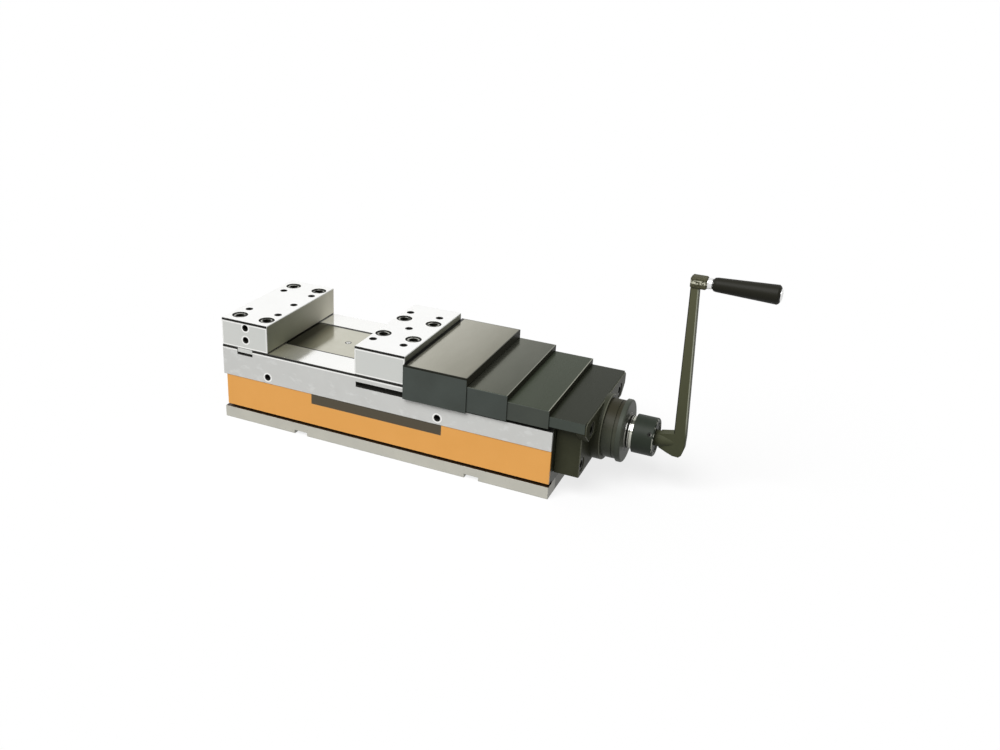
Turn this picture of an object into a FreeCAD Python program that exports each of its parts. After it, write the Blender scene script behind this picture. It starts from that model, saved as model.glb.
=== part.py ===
"""Machine vise with 160 mm jaws and a hydraulic booster in the hub of its crank.

The frame is the vise's own: millimetres, +Z up, the origin in the middle of the
bed's underside, +X along the bed towards the crank, and both jaws across Y.
"""
import FreeCAD, Part
import os
import re

import Sketcher

# Driving sizes, one cell of the sheet each
SIZES = {
    # bed casting
    "bed_length": 435.0,
    "bed_width": 160.0,
    "bed_height": 100.0,
    "bed_edge": 0.8,
    "flange_height": 15.0,
    "clamp_groove_height": 4.0,
    "clamp_groove_depth": 12.0,
    "band_height": 41.4,
    "band_recess": 0.6,
    "band_margin": 4.0,
    "slot_width": 80.0,
    "rail_thickness": 28.0,
    "undercut_width": 100.0,
    "floor_thickness": 24.0,
    "front_wall_length": 27.5,
    "front_wall_height": 84.0,
    "keyway_width": 18.0,
    "keyway_depth": 5.0,
    "front_keyway_from_left": 112.0,
    "rear_keyway_from_left": 342.0,
    "cover_groove_depth": 5.0,
    "cover_groove_height": 6.1,
    "cover_groove_bottom": 84.5,
    "cover_groove_from_left": 190.0,
    "groove_run_in": 10.0,
    "side_hole_radius": 3.4,
    "side_hole_depth": 20.0,
    "side_hole_height": 68.4,
    "side_hole_from_left": 65.6,
    "side_hole_spacing": 231.1,
    # jaws
    "jaw_height": 36.0,
    "jaw_edge": 0.7,
    "fixed_jaw_length": 66.5,
    "movable_jaw_length": 66.0,
    "jaw_opening": 121.5,
    "slide_gap": 0.05,
    "tongue_from_left": 22.0,
    "tongue_width": 22.0,
    "tongue_depth": 6.0,
    "tongue_gap": 1.8,
    "tapped_radius": 3.4,
    "tapped_depth": 20.0,
    "fixed_tapped_inset": 13.5,
    "fixed_tapped_spacing": 43.0,
    "fixed_tapped_spread": 79.0,
    "stop_hole_inset": 35.0,
    "stop_hole_height": 12.0,
    "stop_hole_spacing": 16.0,
    "movable_tapped_inset": 8.8,
    "movable_tapped_spacing": 40.5,
    "movable_tapped_spread": 100.0,
    "fixed_screw_inset": 15.0,
    "fixed_screw_spacing": 39.4,
    "fixed_screw_spread": 122.8,
    "movable_screw_inset": 11.2,
    "movable_screw_spacing": 40.2,
    "movable_screw_spread": 56.0,
    # slide under the movable jaw
    "side_gap": 0.05,
    "keeper_gap": 0.1,
    "keeper_height": 14.0,
    "slide_body_width": 60.0,
    "slide_body_bottom": 43.5,
    "nose_length": 65.5,
    "nose_width": 72.0,
    "nose_thickness": 12.4,
    "plate_thickness": 2.4,
    "plate_drop": 0.2,
    "plate_length": 125.5,
    "plate_under_jaw": 3.5,
    "plate_side_gap": 0.3,
    "plate_screw_from_jaw": 53.5,
    # screw spindle
    "axis_height": 65.5,
    "thread_radius": 15.0,
    "journal_radius": 10.0,
    "journal_length": 23.5,
    "journal_end_gap": 2.5,
    "running_gap": 0.05,
    "bush_length": 20.0,
    "bush_wall": 4.0,
    "rod_radius": 14.0,
    "thread_end_from_bed": 12.5,
    "stub_radius": 12.0,
    "plunger_bore_radius": 8.6,
    "plunger_bore_depth": 10.0,
    "nut_radius": 20.0,
    "nut_flange_radius": 29.0,
    "nut_flange_length": 8.0,
    "nut_screw_circle": 24.5,
    # bracket and hub
    "bracket_length": 29.5,
    "bracket_width": 132.0,
    "bracket_bottom": 28.0,
    "bracket_edge": 1.0,
    "bracket_flange_length": 11.1,
    "bracket_shoulder_drop": 24.0,
    "bracket_ear_drop": 12.0,
    "bracket_rim_length": 1.5,
    "bracket_rim_radius": 5.0,
    "bracket_rim_edge": 0.5,
    "boss_length": 12.5,
    "boss_radius": 38.5,
    "housing_seat": 15.5,
    "housing_reach": 16.5,
    "housing_radius": 34.0,
    "housing_wall": 3.0,
    "housing_groove_inset": 5.0,
    "housing_groove_width": 1.0,
    "cylinder_pass_gap": 1.0,
    "hub_bush_inset": 3.0,
    "hub_bush_length": 26.0,
    "end_cap_radius": 36.5,
    "end_cap_thickness": 6.0,
    "end_cap_spigot": 5.0,
    "end_cap_edge": 2.2,
    # booster inside the hub
    "cylinder_inset": 4.5,
    "cylinder_floor_thickness": 9.0,
    "cylinder_bore_radius": 23.0,
    "cylinder_wall": 5.45,
    "bearing_length": 10.0,
    "race_thickness": 2.5,
    "race_inner_radius": 21.0,
    "ball_play": 0.02,
    "ball_count": 10,
    "cage_thickness": 1.5,
    "cage_half_width": 3.4,
    "disc_spring_count": 4,
    "disc_spring_thickness": 1.5,
    "disc_spring_inner_radius": 14.6,
    "disc_spring_rim_gap": 0.8,
    "booster_stroke": 0.9,
    "stroke_reserve": 0.4,
    "piston_length": 8.0,
    "piston_nut_length": 6.0,
    "piston_nut_radius": 17.5,
    "stub_end": 0.7,
    "chamber_length": 5.0,
    "head_thickness": 6.0,
    "snap_ring_thickness": 1.5,
    "snap_ring_depth": 1.0,
    "snap_ring_width": 3.4,
    "seal_section": 1.3,
    "seal_play": 0.05,
    "key_size": 5.0,
    "key_play": 0.1,
    "nose_radius": 12.0,
    "nose_past_cap": 4.0,
    "feed_stroke": 8.0,
    "feed_reserve": 0.5,
    # drive: pressure rod, ring sleeve, coupling and crank
    "plunger_radius": 8.0,
    "sleeve_radius": 19.0,
    "sleeve_play": 0.1,
    "sleeve_shown": 8.5,
    "ring_count": 3,
    "ring_spacing": 1.7,
    "ring_groove_width": 0.8,
    "ring_groove_depth": 0.9,
    "friction_ring_wall": 1.5,
    "friction_ring_length": 8.0,
    "friction_ring_inset": 3.0,
    "coupling_radius": 22.2,
    "coupling_length": 24.0,
    "coupling_edge": 1.2,
    "coupling_bore_depth": 9.5,
    "coupling_recess_radius": 17.0,
    "coupling_recess_depth": 1.5,
    "crank_socket_depth": 10.5,
    "neck_radius": 9.2,
    "neck_length": 4.0,
    "crank_radius": 189.0,
    "arm_thickness": 11.0,
    "arm_edge": 1.6,
    "arm_root_width": 13.5,
    "arm_tip_width": 9.0,
    "arm_lean": 3.4,
    "arm_from_coupling": 19.0,
    "heel_drop": 16.0,
    "eye_length": 17.5,
    "eye_half_height": 6.3,
    "eye_width": 13.0,
    "collar_length": 5.0,
    "collar_radius": 6.0,
    "grip_bolt_radius": 4.0,
    "grip_bolt_head_radius": 6.8,
    "grip_bolt_head_length": 2.2,
    "grip_bolt_dome": 1.6,
    "grip_gap": 0.3,
    "grip_length": 68.0,
    "grip_small_radius": 7.7,
    "grip_large_radius": 10.3,
    "grip_nose_radius": 6.4,
    "grip_nose_length": 4.0,
    "grip_tail_radius": 8.6,
    "grip_tail_length": 3.0,
    # telescopic covers, from the outermost to the fixed one
    "sheet": 1.2,
    "nest_gap": 0.3,
    "bend_radius": 1.1,
    "cover_1_length": 79.2,
    "cover_1_rise": 10.2,
    "cover_2_rise": 7.6,
    "cover_3_rise": 7.2,
    "cover_2_reach": 48.2,
    "cover_3_reach": 48.4,
    "cover_4_reach": 40.5,
    "cover_length": 96.0,
    "hook_depth": 4.0,
    "hook_clearance": 0.5,
    "front_hook_length": 13.0,
    "end_cover_thickness": 2.6,
    "end_cover_lip_height": 12.2,
    "end_cover_lip_overlap": 12.0,
    "end_cover_screw_inset": 12.5,
    "end_cover_screw_spacing": 30.0,
    "end_cover_screw_spread": 120.0,
    "cover_screw_spread": 112.0,
    "cover_screw_inner_spread": 38.4,
    "cover_screw_drop": 6.1,
    # screws
    "m12_radius": 6.0,
    "m12_head_radius": 9.0,
    "m12_head_height": 12.0,
    "m12_length": 44.0,
    "m12_sink": 1.0,
    "m10_radius": 5.0,
    "m10_head_radius": 8.0,
    "m10_head_height": 10.0,
    "m10_length": 42.0,
    "m10_sink": 1.0,
    "m6_radius": 3.0,
    "m6_head_radius": 5.0,
    "m6_head_height": 6.0,
    "m6_length": 18.0,
    "m4_radius": 2.0,
    "m4_head_radius": 3.8,
    "m4_head_height": 2.0,
    "m4_length": 10.0,
    "m5_radius": 2.5,
    "m5_length": 12.5,
    "screw_play": 0.25,
    "socket_share": 0.5,
    "counterbore_edge": 0.5,
    "bracket_screw_inset": 9.0,
    "bracket_screw_rise": 14.0,
    "bracket_screw_drop": 13.0,
    "crank_screw_inset": 4.6,
    "crank_screw_sink": 0.4,
    "crank_screw_angle": 30.0,
}

# Places worked out from the sizes, as formulas in the same words
PLACES = {
    "half_width": "bed_width / 2",
    "half_slot": "slot_width / 2",
    "half_undercut": "undercut_width / 2",
    "bed_left": "-bed_length / 2",
    "bed_right": "bed_length / 2",
    "groove_top": "flange_height + clamp_groove_height",
    "band_top": "groove_top + band_height",
    "lip_underside": "bed_height - rail_thickness",
    "wall_right": "bed_left + front_wall_length",
    "fixed_face": "bed_left + fixed_jaw_length",
    "movable_face": "fixed_face + jaw_opening",
    "jaw_back": "movable_face + movable_jaw_length",
    "jaw_top": "bed_height + jaw_height",
    "jaw_sole": "bed_height + slide_gap",
    "slide_half_width": "half_slot - side_gap",
    "keeper_top": "lip_underside - keeper_gap",
    "keeper_bottom": "keeper_top - keeper_height",
    "plate_top": "bed_height - plate_drop",
    "plate_bottom": "plate_top - plate_thickness",
    "nose_bottom": "plate_bottom - nose_thickness",
    "plate_right": "movable_face + plate_under_jaw",
    "plate_left": "plate_right - plate_length",
    "plate_screw_place": "movable_face - plate_screw_from_jaw",
    "bush_right": "wall_right",
    "bush_left": "wall_right - bush_length",
    "bush_radius": "journal_radius + running_gap + bush_wall",
    "spindle_left": "bush_left + journal_end_gap / 2",
    "journal_right": "spindle_left + journal_length",
    "thread_right": "bed_right - thread_end_from_bed",
    "bracket_right": "bed_right + bracket_length",
    "boss_right": "bracket_right + boss_length",
    "housing_left": "bed_right + housing_seat",
    "housing_right": "boss_right + housing_reach",
    "housing_bore_radius": "housing_radius - housing_wall",
    "cap_face": "housing_right + end_cap_thickness",
    "cylinder_radius": "cylinder_bore_radius + cylinder_wall",
    "cylinder_left": "bed_right + cylinder_inset",
    "cylinder_floor": "cylinder_left + cylinder_floor_thickness",
    "cylinder_right": "housing_right - bearing_length",
    "springs_right": "cylinder_floor + disc_spring_count * disc_spring_thickness",
    "piston_left": "springs_right + booster_stroke + stroke_reserve",
    "piston_right": "piston_left + piston_length",
    "piston_radius": "cylinder_bore_radius - running_gap",
    "piston_nut_right": "piston_right + piston_nut_length",
    "spindle_right": "piston_nut_right + stub_end",
    "head_left": "spindle_right + chamber_length",
    "head_right": "head_left + head_thickness",
    "snap_ring_right": "head_right + snap_ring_thickness",
    "nose_right": "cap_face + nose_past_cap",
    "ball_radius": "(bearing_length - 2 * race_thickness) / 2 - ball_play",
    "ball_circle": "(race_inner_radius + cylinder_radius) / 2",
    "coupling_left": "cap_face + sleeve_shown",
    "coupling_right": "coupling_left + coupling_length",
    "sleeve_left": "head_right + feed_stroke + feed_reserve",
    "sleeve_bore_radius": "nose_radius + sleeve_play",
    "friction_left": "sleeve_left + friction_ring_inset",
    "friction_right": "friction_left + friction_ring_length",
    "coupling_web": "coupling_left + coupling_bore_depth",
    "socket_bottom": "coupling_right - crank_socket_depth",
    "plunger_left": "head_left + 1",
    "neck_right": "coupling_right + neck_length",
    "arm_left": "coupling_right + arm_from_coupling",
    "arm_right": "arm_left + arm_root_width",
    "arm_tip_left": "arm_left - arm_lean",
    "arm_tip_right": "arm_tip_left + arm_tip_width",
    "eye_left": "arm_tip_left - 0.8",
    "eye_right": "eye_left + eye_length",
    "grip_height": "axis_height + crank_radius",
    "collar_right": "eye_right + collar_length",
    "grip_left": "collar_right + grip_gap",
    "grip_right": "grip_left + grip_length",
    "grip_bore_radius": "grip_bolt_radius + running_gap",
    "bolt_seat": "grip_right - grip_bolt_head_length",
    "bolt_end": "grip_right + grip_bolt_dome",
    "hook_inner": "half_width - hook_depth",
    "cover_1_bottom": "cover_groove_bottom + hook_clearance",
    "cover_2_bottom": "cover_1_bottom + sheet + nest_gap",
    "cover_3_bottom": "cover_2_bottom + sheet + nest_gap",
    "cover_3_half_width": "half_width + nest_gap + sheet",
    "cover_2_half_width": "cover_3_half_width + nest_gap + sheet",
    "cover_1_half_width": "cover_2_half_width + nest_gap + sheet",
    "end_cover_top": "bed_height + end_cover_thickness",
    "cover_3_height": "end_cover_top + cover_3_rise",
    "cover_2_height": "cover_3_height + cover_2_rise",
    "cover_1_height": "cover_2_height + cover_1_rise",
    "cover_1_right": "jaw_back + cover_1_length",
    "cover_2_right": "cover_1_right + cover_2_reach",
    "cover_3_right": "cover_2_right + cover_3_reach",
    "cover_4_right": "cover_3_right + cover_4_reach",
    "cover_4_left": "cover_4_right - cover_length",
    "lip_left": "bed_right - end_cover_lip_overlap",
    "lip_bottom": "end_cover_top - end_cover_lip_height",
    "ear_half_width": "half_width - sheet - nest_gap",
    "flange_right": "cover_4_right + nest_gap + bracket_rim_length",
    "flange_left": "flange_right - bracket_flange_length",
    "bracket_screw_spread": "bracket_width - 2 * bracket_screw_inset",
    "bracket_screw_low": "bracket_bottom + bracket_screw_rise",
    "bracket_screw_high": "bed_height - bracket_screw_drop",
    "bracket_shoulder_height": "bed_height - bracket_shoulder_drop",
    "bracket_ear_height": "bed_height - bracket_ear_drop",
    "cover_groove_left": "bed_left + cover_groove_from_left",
    "cover_groove_top": "cover_groove_bottom + cover_groove_height",
}

ALONG = {
    "x": FreeCAD.Rotation(FreeCAD.Vector(0, 1, 0), 90),
    "y": FreeCAD.Rotation(FreeCAD.Vector(1, 0, 0), -90),
    "z": FreeCAD.Rotation(),
}

doc = FreeCAD.newDocument("vise")
sheet = doc.addObject("Spreadsheet::Sheet", "sizes")
for row, (alias, value) in enumerate(SIZES.items(), 1):
    sheet.set(f"A{row}", alias)
    sheet.set(f"B{row}", str(value))
    sheet.setAlias(f"B{row}", alias)
doc.recompute()

pieces = {}


# Helpers for formulas, outlines and simple solids

def formula(text):
    """The text with each place written out and each size read from the sheet."""

    def spelled(word):
        name = word[0]
        if name in PLACES:
            return "(" + formula(PLACES[name]) + ")"
        return "sizes." + name if name in SIZES else name

    return re.sub(r"[a-z][a-z_0-9]*", spelled, str(text))


def bind(item, **sizes):
    """Ties properties of an object to formulas."""
    for size, text in sizes.items():
        item.setExpression(size, formula(text))
    return item


def place(item, x, y, z, along="z"):
    """Puts an object at three formulas, with its own Z turned along an axis."""
    item.Placement = FreeCAD.Placement(FreeCAD.Vector(), ALONG[along])
    for axis, text in zip("xyz", (x, y, z)):
        item.setExpression("Placement.Base." + axis, formula(text))
    return item


def moved(at, along, by):
    """A place moved along one axis by a formula."""
    return tuple(f"({text}) + ({by})" if axis == along else text for axis, text in zip("xyz", at))


def box(name, x, y, z):
    """A block between two places on each axis."""
    item = doc.addObject("Part::Box", name)
    for size, (low, high) in zip(("Length", "Width", "Height"), (x, y, z)):
        item.setExpression(size, formula(f"({high}) - ({low})"))
    return place(item, x[0], y[0], z[0])


def rod(name, at, radius, length, along="x"):
    """A cylinder that starts at a place and runs along an axis."""
    item = bind(doc.addObject("Part::Cylinder", name), Radius=radius, Height=length)
    return place(item, *at, along)


def outwards(item, x, radius, angle):
    """Turns an object to run away from the main axis, at an angle above the near side."""
    item.Placement = FreeCAD.Placement(FreeCAD.Vector(), FreeCAD.Rotation(FreeCAD.Vector(1, 0, 0), 45))
    places = {"Base.x": x, "Base.y": f"-({radius}) * cos({angle})",
              "Base.z": f"axis_height + ({radius}) * sin({angle})", "Rotation.Angle": f"90 - {angle}"}
    for part, text in places.items():
        item.setExpression("Placement." + part, formula(text))
    return item


def cone(name, at, start_radius, end_radius, length, along="x"):
    """A cone that starts at a place and runs along an axis."""
    item = doc.addObject("Part::Cone", name)
    bind(item, Radius1=start_radius, Radius2=end_radius, Height=length)
    return place(item, *at, along)


def hexagon(name, at, radius, length, along="x"):
    """A six-sided bar that starts at a place and runs along an axis."""
    item = bind(doc.addObject("Part::Prism", name), Circumradius=radius, Height=length)
    item.Polygon = 6
    return place(item, *at, along)


def joined(name, shapes):
    """One solid from several that touch."""
    item = doc.addObject("Part::MultiFuse", name)
    item.Shapes = shapes
    item.Refine = True
    return item


def group(name, solids):
    """Separate solids kept together."""
    item = doc.addObject("Part::Compound", name)
    item.Links = solids
    return item


def cut(name, base, tools):
    """A solid less its tools."""
    item = doc.addObject("Part::Cut", name)
    item.Base = base
    item.Tool = tools[0] if len(tools) == 1 else group(name + "_tools", tools)
    return item


def outline(body, plane, name, loops, circles=(), offset=None):
    """A sketch of closed loops and circles on one of a body's own planes.

    Each corner is a pair of formulas, and each circle is a pair and a radius.
    """
    sketch = body.newObject("Sketcher::SketchObject", name)
    support = next(item for item in body.Origin.OriginFeatures if item.Role == plane)
    sketch.AttachmentSupport = [(support, "")]
    sketch.MapMode = "FlatFace"
    if offset:
        sketch.setExpression("AttachmentOffset.Base.z", formula(offset))
    rules, texts = [], {}

    def fix(kind, line, point, value, text):
        texts[len(rules)] = text
        rules.append(Sketcher.Constraint(kind, -1, 1, line, point, value))

    for corners in loops:
        first, count = sketch.GeometryCount, len(corners)
        start = [ring_point(number, count) for number in range(count)]
        for number in range(count):
            side = Part.LineSegment(start[number], start[(number + 1) % count])
            sketch.addGeometry(side, False)
        for number, (across, up) in enumerate(corners):
            line, last = first + number, first + (number - 1) % count
            rules.append(Sketcher.Constraint("Coincident", last, 2, line, 1))
            fix("DistanceX", line, 1, start[number].x, across)
            fix("DistanceY", line, 1, start[number].y, up)
    for across, up, radius in circles:
        ring = sketch.GeometryCount
        circle = Part.Circle(FreeCAD.Vector(5, 5, 0), FreeCAD.Vector(0, 0, 1), 2)
        sketch.addGeometry(circle, False)
        fix("DistanceX", ring, 3, 5, across)
        fix("DistanceY", ring, 3, 5, up)
        texts[len(rules)] = radius
        rules.append(Sketcher.Constraint("Radius", ring, 2))
    sketch.addConstraint(rules)
    for number, text in texts.items():
        sketch.setExpression(f"Constraints[{number}]", formula(text))
    return sketch


def ring_point(number, count):
    """Where a loop's corner lies before its formulas place it."""
    return FreeCAD.Rotation(FreeCAD.Vector(0, 0, 1), 360 * number / count).multVec(
        FreeCAD.Vector(50, 0, 0))


def turned(name, *loops, circles=(), height="axis_height"):
    """A piece turned about a line along X: corners are places along it and radii."""
    body = doc.addObject("PartDesign::Body", name)
    profile = outline(body, "XZ_Plane", name + "_profile", loops, circles)
    feature = body.newObject("PartDesign::Revolution", name + "_turning")
    feature.Profile = profile
    feature.ReferenceAxis = (profile, ["H_Axis"])
    feature.Angle = 360
    return place(body, "0", "0", height)


def tube(left, right, inner, outer):
    """The profile of a plain ring."""
    return [(left, inner), (right, inner), (right, outer), (left, outer)]


def pad(body, name, sketch, length, backwards=False):
    """A sketch raised off its plane."""
    feature = bind(body.newObject("PartDesign::Pad", name), Length=length)
    feature.Profile = sketch
    feature.Reversed = backwards
    return feature


def edges(feature, wanted):
    """The names of a feature's edges that pass a test."""
    doc.recompute()
    return [f"Edge{number}" for number, edge in enumerate(feature.Shape.Edges, 1) if wanted(edge)]


def eased(body, kind, base, wanted, size):
    """A chamfer or a fillet on the edges of a feature that pass a test."""
    feature = body.newObject("PartDesign::" + kind, base.Name + "_" + kind.lower())
    feature.Base = (base, edges(base, wanted))
    bind(feature, **{"Size" if kind == "Chamfer" else "Radius": size})
    return feature


def upper_corners(feature):
    """A test for a feature's two upper edges along X."""

    def wanted(edge):
        middle, whole = edge.CenterOfMass, feature.Shape.BoundBox
        along_x = abs(edge.tangentAt(edge.FirstParameter).x) > 0.99
        on_side = min(abs(middle.y - whole.YMin), abs(middle.y - whole.YMax)) < 0.01
        return along_x and on_side and abs(middle.z - whole.ZMax) < 0.01

    return wanted


def end_edges(feature, outermost=False):
    """A test for the edges around a feature's end face, or for the outermost of them."""

    def wanted(edge):
        own, whole = edge.BoundBox, feature.Shape.BoundBox
        reaches_out = own.ZMax > whole.ZMax - 0.1 or not outermost
        return abs(own.XMin - whole.XMax) < 0.01 and reaches_out

    return wanted


def mirrored(corners):
    """A right-hand outline with its mirror image on the left."""
    return corners + [(f"-({across})", up) for across, up in reversed(corners)]


def corners_of(centre_x, centre_y, spacing, spread):
    """The four places of a rectangular pattern."""
    return [
        (f"{centre_x} {side} ({spacing}) / 2", f"{centre_y} {end} ({spread}) / 2")
        for side in "-+" for end in "-+"
    ]


def cap_screws(name, tops, thread, along="z"):
    """Socket-head screws, each given by the middle of its head's top."""
    screws = []
    for number, top in enumerate(tops, 1):
        tag = f"{name}_{number}"
        under_head = moved(top, along, f"-{thread}_head_height")
        tip = moved(under_head, along, f"-{thread}_length")
        head = rod(tag + "_head", under_head, f"{thread}_head_radius", f"{thread}_head_height", along)
        shank = rod(tag + "_shank", tip, f"{thread}_radius", f"{thread}_length", along)
        depth = f"{thread}_head_height * socket_share"
        socket = hexagon(tag + "_socket", moved(top, along, f"-{depth}"),
                         f"{thread}_head_radius * 0.6", depth, along)
        screws.append(cut(tag, joined(tag + "_blank", [head, shank]), [socket]))
    return group(name, screws)


def counterbores(name, tops, thread, along="z"):
    """Tools for stepped holes, each given by the middle of the head's top once it is in."""
    seat = f"{thread}_head_radius + 2 * screw_play"
    tools = []
    for number, top in enumerate(tops, 1):
        tag = f"{name}_{number}"
        under_head = moved(top, along, f"-{thread}_head_height")
        tip = moved(under_head, along, f"-{thread}_length")
        tools.append(rod(tag + "_seat", under_head, seat, f"{thread}_head_height + {thread}_sink", along))
        mouth = moved(top, along, f"{thread}_sink - counterbore_edge")
        tools.append(cone(tag + "_mouth", mouth, seat, f"{seat} + 2 * counterbore_edge",
                          "2 * counterbore_edge", along))
        tools.append(rod(tag + "_way", tip, f"{thread}_radius", f"{thread}_length", along))
    return tools


def flush_screws(name, tops, along="z", tip="-"):
    """Countersunk screws, each given by the middle of its face, with their seats as tools."""
    screws, seats = [], []
    for number, top in enumerate(tops, 1):
        for tag, keep in ((f"{name}_{number}", screws), (f"{name}_{number}_seat", seats)):
            neck = moved(top, along, f"{tip}m4_head_height")
            low, ends = (neck, ("m4_radius", "m4_head_radius"))
            if tip != "-":
                low, ends = (top, ("m4_head_radius", "m4_radius"))
            head = cone(tag + "_head", low, *ends, "m4_head_height", along)
            end = moved(top, along, "-m4_length") if tip == "-" else neck
            shank = rod(tag + "_shank", end, "m4_radius", "m4_length - m4_head_height", along)
            keep.append(joined(tag, [head, shank]))
    return group(name, screws), seats


def keep(node, item):
    """Names a finished piece."""
    item.Label = node
    pieces[node] = item
    return item


# Bed: one casting with two rails, an undercut channel, a clamp groove and a painted recess

bed_body = doc.addObject("PartDesign::Body", "bed_body")
bed_side = [
    ("half_width - bed_edge", "0"),
    ("half_width", "bed_edge"),
    ("half_width", "flange_height"),
    ("half_width - clamp_groove_depth", "flange_height"),
    ("half_width - clamp_groove_depth", "groove_top"),
    ("half_width - band_recess", "groove_top"),
    ("half_width - band_recess", "band_top"),
    ("half_width", "band_top"),
    ("half_width", "bed_height - bed_edge"),
    ("half_width - bed_edge", "bed_height"),
    ("half_slot", "bed_height"),
    ("half_slot", "lip_underside"),
    ("half_undercut", "lip_underside"),
    ("half_undercut", "floor_thickness"),
]
bed_section = outline(bed_body, "YZ_Plane", "bed_section", [mirrored(bed_side)])
pad(bed_body, "bed_length_pad", bed_section, "bed_length")
place(bed_body, "bed_left", "0", "0")

front_wall = box("front_wall", ("bed_left", "wall_right"), ("-half_undercut", "half_undercut"),
                 ("floor_thickness - 1", "front_wall_height"))
bed_blank = joined("bed_blank", [bed_body, front_wall])


def cover_groove(name, low_side):
    """The long groove that the covers hook into, with its slanted start."""
    body = doc.addObject("PartDesign::Body", name)
    face = [
        ("cover_groove_left", "cover_groove_bottom + 2"),
        ("cover_groove_left", "cover_groove_top - 1.5"),
        ("cover_groove_left + groove_run_in", "cover_groove_top"),
        ("bed_right + 1", "cover_groove_top"),
        ("bed_right + 1", "cover_groove_bottom"),
        ("cover_groove_left + groove_run_in", "cover_groove_bottom"),
    ]
    shape = outline(body, "XZ_Plane", name + "_face", [face])
    pad(body, name + "_depth", shape, "cover_groove_depth + 1", backwards=True)
    return place(body, "0", low_side, "0")


def keyway(name, from_left):
    """A slot across the underside for a locating key."""
    middle = f"bed_left + {from_left}"
    return box(name, (f"{middle} - keyway_width / 2", f"{middle} + keyway_width / 2"),
               ("-half_width - 1", "half_width + 1"), ("-1", "keyway_depth"))


fixed_screw_middle = "(bed_left + fixed_screw_inset + fixed_screw_spacing / 2)"
movable_screw_middle = "(movable_face + movable_screw_inset + movable_screw_spacing / 2)"
fixed_screw_tops = [
    (x, y, "jaw_top - m12_sink")
    for x, y in corners_of(fixed_screw_middle, "0", "fixed_screw_spacing", "fixed_screw_spread")
]
movable_screw_tops = [
    (x, y, "jaw_top - m12_sink")
    for x, y in corners_of(movable_screw_middle, "0", "movable_screw_spacing", "movable_screw_spread")
]
bracket_screw_tops = [
    (f"{face} - m10_sink", f"{side}bracket_screw_spread / 2", height)
    for side in ("-", "")
    for face, height in (("bracket_right", "bracket_screw_low"), ("flange_right", "bracket_screw_high"))
]
end_cover_screw_tops = [
    (x, y, "end_cover_top")
    for x, y in corners_of(
        "(cover_4_left + end_cover_screw_inset + end_cover_screw_spacing / 2)", "0",
        "end_cover_screw_spacing", "end_cover_screw_spread")
]
side_holes = []
for side, start in (("front", "-half_width - 1"), ("rear", "half_width - side_hole_depth")):
    for number, along in enumerate(("0", "side_hole_spacing"), 1):
        at = (f"bed_left + side_hole_from_left + {along}", start, "side_hole_height")
        side_holes.append(rod(f"side_hole_{side}_{number}", at, "side_hole_radius",
                              "side_hole_depth + 1", "y"))
end_cover_screws, end_cover_seats = flush_screws("end_cover_screws", end_cover_screw_tops)
bed_tools = [
    box("tongue_slot", ("bed_left + tongue_from_left", "bed_left + tongue_from_left + tongue_width"),
        ("-half_width - 1", "half_width + 1"), ("bed_height - tongue_depth - tongue_gap", "bed_height + 1")),
    cover_groove("front_cover_groove", "-half_width - 1"),
    cover_groove("rear_cover_groove", "half_width - cover_groove_depth"),
    keyway("front_keyway", "front_keyway_from_left"),
    keyway("rear_keyway", "rear_keyway_from_left"),
    box("end_recess", ("bed_left - 1", "bed_left + band_margin"), ("-half_width - 1", "half_width + 1"),
        ("groove_top", "band_top")),
    rod("bush_seat", ("bush_left", "0", "axis_height"), "bush_radius", "bush_length + 1"),
]
for side, sides in (("front", ("-half_width - 1", "-ear_half_width")),
                    ("rear", ("ear_half_width", "half_width + 1"))):
    bed_tools.append(box(f"{side}_lip_rebate", ("lip_left - nest_gap", "bed_right + 1"), sides,
                         ("lip_bottom - nest_gap", "bed_height + 1")))
bed_tools += side_holes + counterbores("bed_fixed_screw", fixed_screw_tops, "m12")
bed_tools += counterbores("bed_bracket_screw", bracket_screw_tops, "m10", "x") + end_cover_seats
keep("bed", cut("bed_finished", bed_blank, bed_tools))

keep("front_bush", turned("front_bush_body", tube(
    "bush_left", "bush_right", "journal_radius + running_gap", "bush_radius")))


# Fixed jaw: a ground block keyed across the rails and held by four screws

def block(name, length, width, height, edge):
    """A rectangular block with every edge eased."""
    body = doc.addObject("PartDesign::Body", name)
    base = [("0", "0"), (length, "0"), (length, width), ("0", width)]
    solid = pad(body, name + "_pad", outline(body, "XY_Plane", name + "_base", [base]), height)
    eased(body, "Chamfer", solid, lambda edge_line: True, edge)
    return body


def jaw(name, left, length, sole):
    """A jaw block across the bed."""
    body = block(name, length, "bed_width", f"jaw_top - ({sole})", "jaw_edge")
    return place(body, left, "-half_width", sole)


def tapped(name, places, surface, depth="tapped_depth"):
    """Tools for tapped holes straight down from a surface."""
    return [
        rod(f"{name}_{number}", (x, y, f"{surface} - {depth}"), "tapped_radius", f"{depth} + 1", "z")
        for number, (x, y) in enumerate(places, 1)
    ]


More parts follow.
